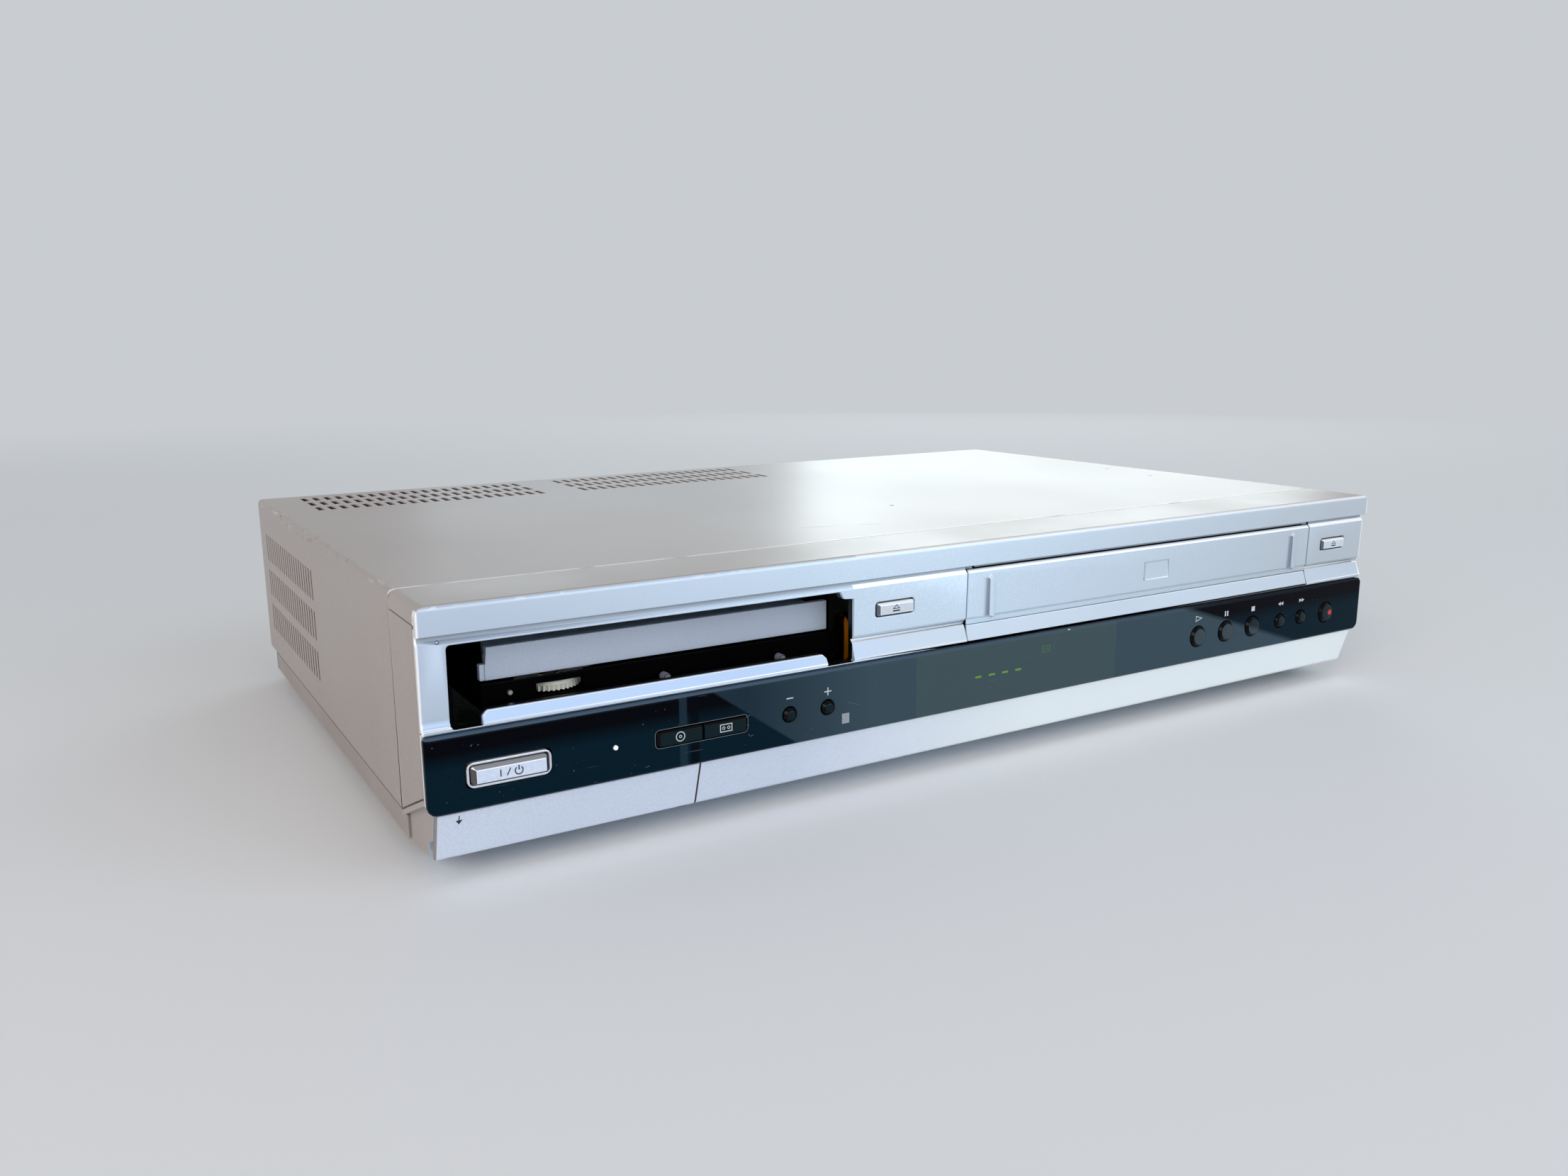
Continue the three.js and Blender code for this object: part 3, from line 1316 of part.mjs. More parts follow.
function makeLoader() {
  const floor = block(loaderLeft, loaderRight, loaderFront, loaderRear, loaderFoot, loaderFloorTop);
  const wallFront = trayFrontY + trayFrontWall + slideGap;
  const leftWall = block(loaderLeft, loaderLeft + loaderWall, wallFront, loaderRear,
    loaderFoot, loaderTop);
  const rightWall = block(loaderRight - loaderWall, loaderRight, wallFront, loaderRear,
    loaderFoot, loaderTop);
  const ledges = [[loaderLeft, trayLeft + loaderLedge], [trayRight - loaderLedge, loaderRight]].map(([x0, x1]) =>
    block(x0, x1, wallFront + slideGap, loaderRear, plateFoot - seatGap - loaderLedgeWall,
      plateFoot - seatGap));
  const back = block(loaderLeft, loaderRight, loaderRear - loaderWall, loaderRear, loaderFoot, loaderTop);
  const front = block(loaderLeft, loaderRight, loaderFront, loaderFront + loaderFrontWall,
    loaderFoot, trayFoot - slideGap);
  const window = block(gearX - gearWindowWidth / 2, gearX + gearWindowWidth / 2, loaderFront - overrun,
    loaderFront + loaderFrontWall + overrun / 5, wheelFoot - slideGap, wheelFoot + gearWindowHeight);
  const pegs = [trayX - pegLeftShift, trayX + pegRightShift].map((x) => rodY(pegRadius, x,
    chinTop - stripTopDrop - pegDrop, loaderFront - pegLength, loaderFront + loaderFrontWall, coarseFlats));
  const screw = rodY(screwRadius, trayLeft + screwLeftGap, trayFoot - screwDrop, loaderFront - screwRadius,
    loaderFront + loaderFrontWall / 2, coarseFlats);
  const axles = [[gearX, gearY, pinionTop - slideGap], [pulleyX, pulleyY, pulleyTopZ - slideGap]].map(([x, y, z]) =>
    rodZ(axlePinRadius, x, y, loaderFoot, z, coarseFlats));
  const shaftHole = rodZ(motorShaftRadius * 2, motorX, motorY, loaderFoot - overrun, loaderFloorTop + overrun,
    coarseFlats);
  const seats = cornersOf(trayX - traverseWidth / 2 + bossRadius, trayX + traverseWidth / 2 - bossRadius,
    discY - traverseFront + bossRadius, discY - traverseFront + traverseLength - bossRadius).map(([x, y]) =>
    rodZ(bossRadius, x, y, loaderFoot, loaderFloorTop + traverseRise - seatGap, coarseFlats));
  return join(cut(join(floor, leftWall, rightWall, ...ledges, back, front), window, shaftHole),
    ...pegs, screw, ...axles, ...seats);
}

piece('loader_frame', makeLoader(), blackPlastic);

function makeTrayGear() {
  const wheel = gear(wheelTeeth, wheelModule, 0, gearX, gearY, wheelFoot, wheelTop);
  const pinion = gear(pinionTeeth, pinionModule, 0, gearX, gearY, pinionFoot, pinionTop);
  const hub = rodZ(gearHubRadius, gearX, gearY, wheelFoot, pinionTop, coarseFlats);
  return cut(join(wheel, pinion, hub), rodZ(gearBore, gearX, gearY, wheelFoot - overrun, pinionTop + overrun,
    coarseFlats));
}

piece('tray_gear', makeTrayGear(), ivoryPlastic);

function grooved(radius, x, y, z0, z1) {
  const lip = (z1 - z0) / 4;
  return turnZ([[0, z0], [radius, z0], [radius, z0 + lip / 2], [radius - pulleyGroove, z0 + lip],
    [radius - pulleyGroove, z1 - lip], [radius, z1 - lip / 2], [radius, z1], [0, z1]], x, y);
}

function makePulley() {
  const teeth = gear(pulleyTeeth, wheelModule, meshAngle + Math.PI, pulleyX, pulleyY, wheelFoot, pulleyFoot + seatGap);
  const disc = grooved(pulleyRadius, pulleyX, pulleyY, pulleyFoot, pulleyTopZ);
  return cut(join(teeth, disc), rodZ(gearBore, pulleyX, pulleyY, wheelFoot - overrun, pulleyTopZ + overrun,
    coarseFlats));
}

piece('belt_pulley', makePulley(), greyPlastic);
piece('motor_pulley', join(grooved(motorPulleyRadius, motorX, motorY, pulleyFoot, pulleyTopZ),
  rodZ(motorShaftRadius, motorX, motorY, loaderFoot, pulleyTopZ, coarseFlats)), steelDark);
piece('loading_motor', rodZ(motorRadius, motorX, motorY, loaderFoot - seatGap - motorHeight, loaderFoot - seatGap),
  steel);

// The belt's loop stands clear of both grooves by the belt gap.
function loopOutline(bigRadius, smallRadius) {
  const spread = Math.acos((bigRadius - smallRadius) / motorShift);
  const points = [];
  for (let step = 0; step <= roundFlats; step += 1) {
    const angle = spread + ((2 * Math.PI - 2 * spread) * step) / roundFlats;
    points.push([pulleyX + bigRadius * Math.cos(angle), pulleyY + bigRadius * Math.sin(angle)]);
  }
  for (let step = 0; step <= coarseFlats; step += 1) {
    const angle = -spread + (2 * spread * step) / coarseFlats;
    points.push([motorX + smallRadius * Math.cos(angle), motorY + smallRadius * Math.sin(angle)]);
  }
  return points;
}

function makeBelt() {
  const big = pulleyRadius - pulleyGroove + beltGap;
  const small = motorPulleyRadius - pulleyGroove + beltGap;
  const z0 = pulleyFoot + pulleyWall / 4 + beltGap;
  const z1 = pulleyTopZ - pulleyWall / 4 - beltGap;
  return cut(slabZ(loopOutline(big + beltWall, small + beltWall), z0, z1),
    slabZ(loopOutline(big, small), z0 - overrun, z1 + overrun));
}

piece('drive_belt', makeBelt(), rubberBlack);

// Traverse: plate, spindle motor and rails; turntable and pickup ride on it

const traverseFoot = loaderFloorTop + traverseRise;
const traverseTop = traverseFoot + traverseWall;
const tableTop = plateTop - discWell + seatGap;
const tableFoot = tableTop - tableWall;
const railZ = traverseTop + railRise;
const sledFoot = railZ + railRadius + seatGap;
const sledY = discY + sledStart + sledLength / 2;

function makeTraverse() {
  const y0 = discY - traverseFront;
  const plate = block(trayX - traverseWidth / 2, trayX + traverseWidth / 2, y0, y0 + traverseLength,
    traverseFoot, traverseTop);
  const motor = rodZ(spindleMotorRadius, trayX, discY, traverseFoot, traverseTop + spindleMotorHeight);
  const rails = [-1, 1].map((side) => rodY(railRadius, trayX + side * railSpread, railZ,
    discY + railStart, discY + railStart + railLength, coarseFlats));
  const ears = [discY + railStart - railRadius, discY + railStart + railLength - railRadius].map((y) =>
    block(trayX - railSpread - railRadius * 2, trayX + railSpread + railRadius * 2, y, y + railRadius * 2,
      traverseFoot, railZ + railRadius / 2));
  return cut(join(plate, motor, ...rails, ...ears), rodZ(spindleRadius + keyGap, trayX, discY,
    traverseFoot - overrun, traverseTop + overrun * 2, coarseFlats));
}

piece('traverse_plate', makeTraverse(), steel);

piece('turntable', turnZ([[0, traverseTop], [spindleRadius, traverseTop], [spindleRadius, tableFoot],
  [tableRadius, tableFoot], [tableRadius, tableTop], [hubFootRadius, tableTop],
  [hubTopRadius, tableTop + hubHeight], [0, tableTop + hubHeight]], trayX, discY), blackPlastic);

piece('pickup_sled', join(
  block(trayX - sledWidth / 2, trayX + sledWidth / 2, sledY - sledLength / 2, sledY + sledLength / 2,
    sledFoot, sledFoot + sledHeight),
  block(trayX - sledKeel / 2, trayX + sledKeel / 2, sledY - sledLength / 2, sledY + sledLength / 2,
    traverseTop + seatGap, sledFoot + sledHeight / 2),
  rodZ(lensRadius, trayX, sledY - sledLength / 2 + lensRadius * 2, sledFoot, sledFoot + sledHeight + lensHeight,
    coarseFlats)), steelDark);

const bridgeFoot = loaderTop + seatGap;
const clamperFoot = tableTop + hubHeight + clamperDrop;

piece('clamp_bridge', cut(
  block(loaderLeft, loaderRight, discY - bridgeLength / 2, discY + bridgeLength / 2, bridgeFoot,
    bridgeFoot + bridgeWall),
  rodZ(clamperRadius + keyGap, trayX, discY, bridgeFoot - overrun, bridgeFoot + bridgeWall + overrun)), steel);
piece('disc_clamper', turnZ([[0, clamperFoot], [clamperRadius, clamperFoot],
  [clamperRadius, bridgeFoot + bridgeWall + seatGap], [clamperRadius + clamperFlange,
    bridgeFoot + bridgeWall + seatGap], [clamperRadius + clamperFlange,
    bridgeFoot + bridgeWall + seatGap + clamperWall], [0, bridgeFoot + bridgeWall + seatGap + clamperWall]],
trayX, discY), blackPlastic);

// Bracket that carries the loader over the boards

function makeBracket() {
  const z1 = loaderFoot - seatGap;
  const y0 = bracketFront;
  const y1 = loaderRear;
  const table = block(loaderLeft, loaderRight, y0, y1, z1 - bracketWall, z1);
  const legs = [];
  for (const [x, out] of [[loaderLeft, -1], [loaderRight - bracketWall, 1]]) {
    for (const y of [y0, y1 - bracketLegWidth]) {
      legs.push(block(x, x + bracketWall, y, y + bracketLegWidth, floorTop + seatGap, z1));
      const footX = out < 0 ? x : x + bracketWall - bracketFoot;
      legs.push(block(footX, footX + bracketFoot, y + bracketWall, y + bracketLegWidth - bracketWall, floorTop + seatGap,
        floorTop + seatGap + bracketWall));
    }
  }
  return join(table, ...legs);
}

piece('loader_bracket', makeBracket(), steel);

// Flat cable: up from the front board, over and down to the main board

function makeFlex() {
  const x0 = loaderRight + flexX;
  const crown = faceTop - flexTopDrop;
  const radius = (flexBackY - flexFrontY) / 2;
  const middle = flexFrontY + radius;
  const outer = [];
  const inner = [];
  for (let step = 0; step <= coarseFlats; step += 1) {
    const angle = Math.PI - (Math.PI * step) / coarseFlats;
    outer.push([middle + radius * Math.cos(angle), crown - radius + radius * Math.sin(angle)]);
    inner.push([middle + (radius - flexWall) * Math.cos(angle), crown - radius + (radius - flexWall) * Math.sin(angle)]);
  }
  const points = [[flexFrontY, boardTop - flexFrontFoot], ...outer, [flexBackY, boardTop - flexBackFoot],
    [flexBackY - flexWall, boardTop - flexBackFoot], ...inner.reverse(),
    [flexFrontY + flexWall, boardTop - flexFrontFoot]];
  const strip = slabX(points.reverse(), x0, x0 + flexWidth);
  const plug = block(x0, x0 + flexWidth, flexFrontY, frontBoardY - seatGap, boardTop - flexFrontFoot,
    boardTop - flexFrontFoot + flexFrontFoot / 2);
  return join(strip, plug);
}

piece('flex_cable', makeFlex(), flexOrange);

// Cassette deck: chassis with side walls, carriage, basket, reels, drum and capstan

const deckFoot = base + deckRise;
const deckTop = deckFoot + deckWall;
const basketFoot = chinFoot;
const basketTop = basketFoot + basketWall * 2 + cassetteSlack / 2 + cassetteHeight;
const deckRear = rearFace - sheet - deckRearGap;
const drumY = deckRear - drumRearGap - drumRadius;
const capstanX = deckX + capstanShift;

function makeDeck() {
  const plate = block(deckX - deckHalf, deckX + deckHalf, deckFront, deckRear, deckFoot, deckTop);
  const sides = [deckX - deckHalf, deckX + deckHalf - deckWall].map((x) =>
    block(x, x + deckWall, deckFront - deckSideFront, drumY - drumRadius, deckFoot, basketTop + deckSideGap));
  const legs = cornersOf(deckX - deckHalf + deckLegRadius, deckX + deckHalf - deckLegRadius,
    deckFront + deckLegRadius, rearFace - sheet - tunerDepth - bossMargin).map(([x, y]) =>
    rodZ(deckLegRadius, x, y, mainBoardFloor + boardWall + seatGap, deckFoot + deckWall / 2, coarseFlats));
  const guides = [-1, 1].map((side) => rodZ(guideRadius, deckX + side * guideSpread, drumY - drumRadius
    + guideSetBack / 3, deckFoot, deckTop + guideHeight, coarseFlats));
  const drumFoot = rodZ(drumFootRadius, deckX, drumY, deckFoot,
    deckTop + drumSeat - drumFootRadius * Math.sin(drumTilt) - seatGap);
  const armPost = rodZ(capstanRadius, pinchPivotX, pinchPivotY, deckFoot, deckTop + pinchRise + pinchArmWall
    + pinchHeight, coarseFlats);
  const shaftHole = rodZ(capstanHole, capstanX, capstanY, deckFoot - overrun, deckTop + overrun, coarseFlats);
  const reelPosts = [-1, 1].map((side) => rodZ(reelShaftRadius, deckX + side * reelSpan, reelY, deckFoot,
    deckTop + reelWall + reelHubHeight / 2, coarseFlats));
  const tunerNotch = block(tunerX - tunerWidth / 2 - bossMargin / 4, half, rearFace - sheet - tunerDepth - bossMargin / 4,
    rearFace, deckFoot - overrun, deckTop + overrun);
  return join(cut(join(plate, ...sides), shaftHole, tunerNotch), ...legs, ...guides, drumFoot, armPost, ...reelPosts);
}

const pinchX = capstanX;
const pinchY = capstanY - capstanRadius - pinchGap - pinchRadius;
const pinchPivotX = capstanX + pinchArmLength;
const pinchPivotY = pinchY;

piece('deck_chassis', makeDeck(), steel);

// Carriage: slides in along the deck's sides, open in front and below
const carriageY0 = basketFront + (basketLength - carriageLength) / 2;
const carriageFootZ = basketFoot;
const carriageTopZ = basketTop + carriageTop;

piece('cassette_carriage', join(
  block(deckX - carriageHalf, deckX - carriageHalf + carriageWall, carriageY0, carriageY0 + carriageLength,
    carriageFootZ, carriageTopZ),
  block(deckX + carriageHalf - carriageWall, deckX + carriageHalf, carriageY0, carriageY0 + carriageLength,
    carriageFootZ, carriageTopZ),
  block(deckX - carriageHalf, deckX + carriageHalf, carriageY0 + carriageLength - carriageBar,
    carriageY0 + carriageLength, carriageTopZ - carriageWall, carriageTopZ)), steelDark);

function makeBasket() {
  const y1 = basketFront + basketLength;
  const roof = block(deckX - basketHalf, deckX + basketHalf, basketFront, y1, basketTop - basketWall, basketTop);
  const sides = [deckX - basketHalf, deckX + basketHalf - basketWall].map((x) =>
    block(x, x + basketWall, basketFront, y1, basketFoot, basketTop));
  const ledges = [deckX - basketHalf, deckX + basketHalf - basketLedge].map((x) =>
    block(x, x + basketLedge, basketFront, y1, basketFoot, basketFoot + basketWall));
  return join(roof, ...sides, ...ledges);
}

piece('cassette_basket', makeBasket(), steel);

for (const [name, side] of [['supply_reel', -1], ['takeup_reel', 1]]) {
  const z0 = deckTop + seatGap;
  piece(name, cut(turnZ([[0, z0], [reelRadius, z0], [reelRadius, z0 + reelWall], [reelHubRadius, z0 + reelWall],
    [reelHubRadius - reelShaftRadius, z0 + reelWall + reelHubHeight], [0, z0 + reelWall + reelHubHeight]],
  deckX + side * reelSpan, reelY), rodZ(reelShaftRadius + seatGap, deckX + side * reelSpan, reelY,
    z0 - overrun, z0 + reelWall + reelHubHeight / 2 + seatGap, coarseFlats)), blackPlastic);
}

// The drum's two halves share one tilted axis
const drumGroup = new THREE.Group();
drumGroup.position.set(deckX, drumY, deckTop + drumSeat);
drumGroup.rotation.x = drumTilt;
cabinet.add(drumGroup);
piece('lower_drum', turnZ([[0, 0], [drumRadius, 0], [drumRadius, lowerDrumHeight],
  [drumShaftRadius, lowerDrumHeight], [drumShaftRadius, lowerDrumHeight + upperDrumHeight / 2],
  [0, lowerDrumHeight + upperDrumHeight / 2]], 0, 0, fineFlats), steel, drumGroup);
piece('upper_drum', cut(turnZ([[0, lowerDrumHeight + seatGap], [drumRadius, lowerDrumHeight + seatGap],
  [drumRadius, lowerDrumHeight + upperDrumHeight], [0, lowerDrumHeight + upperDrumHeight]], 0, 0, fineFlats),
rodZ(drumShaftRadius + seatGap, 0, 0, lowerDrumHeight - overrun, lowerDrumHeight + upperDrumHeight / 2 + seatGap,
  roundFlats)), steel, drumGroup);

const flywheelTop = deckFoot - slideGap;
piece('capstan', turnZ([[0, flywheelTop - flywheelWall], [flywheelRadius, flywheelTop - flywheelWall],
  [flywheelRadius, flywheelTop], [capstanRadius, flywheelTop], [capstanRadius, flywheelTop + capstanHeight],
  [0, flywheelTop + capstanHeight]], capstanX, capstanY), steelDark);

const armFoot = deckTop + pinchRise;
piece('pinch_arm', join(cut(
  block(pinchX - pinchArmWidth / 2, pinchPivotX + pinchArmWidth / 2, pinchY - pinchArmWidth / 2,
    pinchY + pinchArmWidth / 2, armFoot, armFoot + pinchArmWall),
  rodZ(capstanRadius + keyGap, pinchPivotX, pinchPivotY, armFoot - overrun, armFoot + pinchArmWall + overrun,
    coarseFlats)),
rodZ(capstanRadius, pinchX, pinchY, armFoot, armFoot + pinchArmWall + pinchHeight, coarseFlats)), steelDark);
piece('pinch_roller', turnZ([[capstanRadius + seatGap, armFoot + pinchArmWall + seatGap],
  [pinchRadius, armFoot + pinchArmWall + seatGap], [pinchRadius, armFoot + pinchArmWall + pinchHeight],
  [capstanRadius + seatGap, armFoot + pinchArmWall + pinchHeight],
  [capstanRadius + seatGap, armFoot + pinchArmWall + seatGap]], pinchX, pinchY), rubberBlack);

// Boards

function makeMainBoard() {
  const z1 = mainBoardFloor + boardWall;
  const wide = block(left + mainBoardMargin, half - mainBoardMargin, mainBoardFront, mainBoardRear,
    mainBoardFloor, z1);
  const rear = block(powerBoardRight + mainBoardSplit, half - mainBoardMargin, mainBoardFront, boardRear,
    mainBoardFloor, z1);
  const chips = [[trayX, discY], [trayX, discY + chipSide * 2], [deckX, reelY - chipSide * 2]].map(([x, y]) =>
    block(x - chipSide / 2, x + chipSide / 2, y - chipSide / 2, y + chipSide / 2, mainBoardFloor, z1 + chipWall));
  const legHoles = [loaderLeft, loaderRight - bracketFoot].flatMap((x) => [bracketFront, loaderRear
    - bracketLegWidth].map((y) => block(x - boardWall, x + bracketFoot + boardWall, y - boardWall,
    y + bracketLegWidth + boardWall, mainBoardFloor - overrun, z1 + overrun)));
  return cut(join(wide, rear, ...chips), ...legHoles);
}

piece('main_board', makeMainBoard(), boardGreen);

function makePowerBoard() {
  const z1 = mainBoardFloor + boardWall;
  const x0 = left + mainBoardMargin;
  const board = block(x0, powerBoardRight, powerBoardFront, boardRear, mainBoardFloor, z1);
  const middleY = (powerBoardFront + boardRear) / 2;
  const transformerX = (x0 + powerBoardRight) / 2;
  const core = block(transformerX - transformerSide / 2, transformerX + transformerSide / 2,
    middleY - transformerSide / 2, middleY + transformerSide / 2, mainBoardFloor, z1 + transformerHeight);
  const capacitorX = transformerX - transformerSide / 2 - capacitorRadius * 2;
  const capacitor = rodZ(capacitorRadius, capacitorX, powerBoardFront + capacitorRadius * 2, mainBoardFloor,
    z1 + capacitorHeight);
  const sinkX = transformerX + transformerSide / 2 + capacitorRadius;
  const sink = block(sinkX, sinkX + sinkWall, middleY - sinkLength / 2, middleY + sinkLength / 2,
    mainBoardFloor, z1 + sinkHeight);
  return join(board, core, capacitor, sink);
}

piece('power_board', makePowerBoard(), boardGreen);

// Rear jacks, tuner and mains inlet

function makeRearJacks() {
  const y0 = rearFace - sheet - rearJackDepth;
  let solid = block(rearBlock.x0, rearBlock.x1, y0, rearFace, rearBlock.z0, rearBlock.z1);
  solid = join(solid, block(rearBlock.x0, rearBlock.x1, y0, y0 + rearJackDepth / 2,
    mainBoardFloor + boardWall + seatGap, rearBlock.z1));
  const bores = [];
  for (let column = 0; column < rearJackColumns; column += 1) {
    for (let row = 0; row < rearJackRows; row += 1) {
      const x = rearJackLeft + column * rearJackPitch;
      const z = rearJackFoot + row * rearJackPitch;
      solid = join(solid, rodY(jackRadius, x, z, y0 + rearJackDepth / 2, coverDepth + jackReach, coarseFlats));
      bores.push(rodY(jackBore, x, z, rearFace - sheet, coverDepth + jackReach + overrun, coarseFlats));
    }
  }
  return cut(solid, ...bores);
}

piece('rear_jack_block', makeRearJacks(), blackPlastic);

function makeTuner() {
  const y1 = rearFace - sheet - seatGap;
  let solid = block(tunerX - tunerWidth / 2, tunerX + tunerWidth / 2, y1 - tunerDepth, y1,
    tunerFoot, tunerFoot + tunerHeight);
  for (const side of [-1, 1]) {
    const x = tunerX + side * antennaPitch / 2;
    solid = join(solid, rodY(antennaRadius, x, antennaZ, y1 - overrun, coverDepth + jackReach));
    solid = cut(solid, rodY(antennaBore, x, antennaZ, rearFace, coverDepth + jackReach + overrun, coarseFlats));
  }
  return solid;
}

piece('tuner_box', makeTuner(), steel);

function makeInlet() {
  const y1 = rearFace + inletLip;
  const y0 = rearFace - inletDepth;
  const shell = join(
    block(inletX - inletWidth / 2, inletX + inletWidth / 2, y0, y1, inletZ - inletHeight / 2, inletZ + inletHeight / 2),
    block(inletX - inletSocketWidth / 2, inletX + inletSocketWidth / 2, y0, y0 + inletLip,
      mainBoardFloor + boardWall + seatGap, inletZ));
  const socket = slabY(roundedRectangle(inletX - inletSocketWidth / 2, inletX + inletSocketWidth / 2,
    inletZ - inletSocketHeight / 2, inletZ + inletSocketHeight / 2, inletSocketHeight / 2 - inletPinRadius),
  y1 - inletSocketDepth, y1 + overrun);
  const pins = [-1, 1].map((side) => rodY(inletPinRadius, inletX + side * inletPinSpread, inletZ,
    y1 - inletSocketDepth - inletLip, y1 - inletLip, coarseFlats));
  return join(cut(shell, socket), ...pins);
}

piece('ac_inlet', makeInlet(), blackPlastic);

// Feet under the chassis

const footPlaces = cornersOf(left + footMarginX, half - footMarginX, footFrontY, coverDepth - footRearMargin);
['foot_front_left', 'foot_front_right', 'foot_rear_left', 'foot_rear_right'].forEach((name, index) => {
  const [x, y] = footPlaces[index];
  piece(name, turnZ([[0, 0], [footRadius - footTaper, 0], [footRadius, base - seatGap], [0, base - seatGap]], x, y),
    rubberBlack);
});

// The origin goes to the middle of the part's footprint
const frontReach = -panelProud - buttonProud;
cabinet.position.y = -(frontReach + coverDepth + jackReach) / 2;

const part = new THREE.Group();
part.add(cabinet);

export default part;
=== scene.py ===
import json
import math

import bmesh
import bpy
from mathutils import Matrix, Vector


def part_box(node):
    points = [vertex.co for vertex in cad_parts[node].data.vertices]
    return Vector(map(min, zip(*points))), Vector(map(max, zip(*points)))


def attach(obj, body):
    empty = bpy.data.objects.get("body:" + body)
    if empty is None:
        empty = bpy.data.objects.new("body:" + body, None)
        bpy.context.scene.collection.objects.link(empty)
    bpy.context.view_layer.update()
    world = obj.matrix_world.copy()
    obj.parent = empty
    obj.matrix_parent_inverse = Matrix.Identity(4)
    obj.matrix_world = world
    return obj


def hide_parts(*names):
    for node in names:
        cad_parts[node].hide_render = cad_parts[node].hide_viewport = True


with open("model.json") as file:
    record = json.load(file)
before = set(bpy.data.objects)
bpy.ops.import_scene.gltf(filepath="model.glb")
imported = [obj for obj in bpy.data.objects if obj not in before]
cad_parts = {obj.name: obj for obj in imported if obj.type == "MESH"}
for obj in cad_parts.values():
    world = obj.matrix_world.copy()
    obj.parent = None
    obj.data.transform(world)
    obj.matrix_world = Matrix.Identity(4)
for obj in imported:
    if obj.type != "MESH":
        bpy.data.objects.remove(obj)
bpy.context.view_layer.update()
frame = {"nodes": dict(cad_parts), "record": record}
nodes = frame["nodes"]
record = frame["record"]
bodyOf = {}
for body, members in record["behaviour"]["bodies"].items():
    for member in members:
        bodyOf[member] = body
slotOf = {entry["node"]: entry["material_slot"] for entry in record["subparts"]}
scene = bpy.context.scene
scene.view_settings.view_transform = "Standard"
mm = 0.001
frontY = -139.3  # the band's front
print("frame loaded:", len(nodes), "nodes")


# Camera, where the photograph was taken from

cameraLook = {"place": (-0.29846, -0.47635, 0.16001), "turn": (78.24, 0.40, -31.18), "lens": 28.18}


def makeCamera(look):
    lens = bpy.data.cameras.new("camera")
    lens.sensor_width = 36
    lens.lens = look["lens"]
    camera = bpy.data.objects.new("camera", lens)
    camera.location = look["place"]
    camera.rotation_euler = [math.radians(angle) for angle in look["turn"]]
    scene.collection.objects.link(camera)
    scene.camera = camera


makeCamera(cameraLook)


# Colours are written as they look on a screen, from 0 to 255

def linear(color):
    channels = []
    for value in color:
        share = value / 255
        channels.append(share / 12.92 if share <= 0.04045 else ((share + 0.055) / 1.055) ** 2.4)
    return channels


def rgba(color, gain=1.0):
    return [min(channel * gain, 1) for channel in linear(color)] + [1]


# Nodes for finishes; bench holds the material that they are added to and the place on the object

bench = {}


def addNode(kind, **settings):
    node = bench["tree"].nodes.new("ShaderNode" + kind)
    for name, value in settings.items():
        setattr(node, name, value)
    return node


# Gives a socket another node's output, a number, or a colour from 0 to 255
def feed(value, socket):
    if isinstance(value, tuple):
        socket.default_value = rgba(value)
    elif isinstance(value, (int, float, list)):
        socket.default_value = value
    else:
        bench["tree"].links.new(value, socket)


# Feeds a node's sockets, named with _ for a space, and gives its outputs
def fill(node, **values):
    for name, value in values.items():
        feed(value, node.inputs[name.replace("_", " ")])
    return node.outputs


def addMath(operation, *values):
    node = addNode("Math", operation=operation)
    for socket, value in zip(node.inputs, values):
        feed(value, socket)
    return node.outputs["Value"]


def times(first, *others):
    for other in others:
        first = addMath("MULTIPLY", first, other)
    return first


def larger(first, second):
    return addMath("MAXIMUM", first, second)


def over(value, number):
    return addMath("GREATER_THAN", value, number)


def under(value, number):
    return addMath("LESS_THAN", value, number)


def between(value, low, high):
    return times(over(value, low), under(value, high))


# How far a value lies from a number
def away(value, number=0):
    return addMath("ABSOLUTE", addMath("SUBTRACT", value, number) if number else value)


def ramp(value, low, high, toLow=0, toHigh=1):
    return fill(addNode("MapRange"), Value=value, From_Min=low, From_Max=high, To_Min=toLow,
                To_Max=toHigh)["Result"]


def mix(share, first, second):
    return fill(addNode("Mix", data_type="RGBA"), Factor=share, A=first, B=second)["Result"]


def noise(scale, detail, stretch=None):
    place = bench["place"]
    if stretch:
        place = fill(addNode("Mapping"), Scale=list(stretch), Vector=place)["Vector"]
    return fill(addNode("TexNoise"), Scale=scale, Detail=detail, Vector=place)["Fac"]


# Where a noise of the look's shows, by its span
def patches(look, part):
    return ramp(noise(*look[part]), *look[part + "Span"])


def split(vector):
    parts = fill(addNode("SeparateXYZ"), Vector=vector)
    return parts["X"], parts["Y"], parts["Z"]


def addPlace():
    return split(bench["place"])


def addFacing():
    return split(addNode("NewGeometry").outputs["True Normal"])


def addBump(shader, height, strength, distance):
    fill(shader, Normal=fill(addNode("Bump"), Strength=strength, Distance=distance, Height=height)["Normal"])


# What a finish has where its own look says nothing else
plainLook = {
    "metallic": 0, "coat": 0, "specular": 0.5, "fleckScale": 1500, "fleckDetail": 1.0, "fleckDepth": 0.05,
    "fleckSpan": (0.3, 0.7), "cloudScale": 14, "cloudDetail": 3.0, "cloudDepth": 0.4, "cloudSpan": (0.35, 0.7),
    "cloudGain": 0.9, "roughSpan": (0.3, 0.7), "roughSpread": 0.06, "skin": 0.08, "skinDepth": 0.00005,
}
finishes = {}


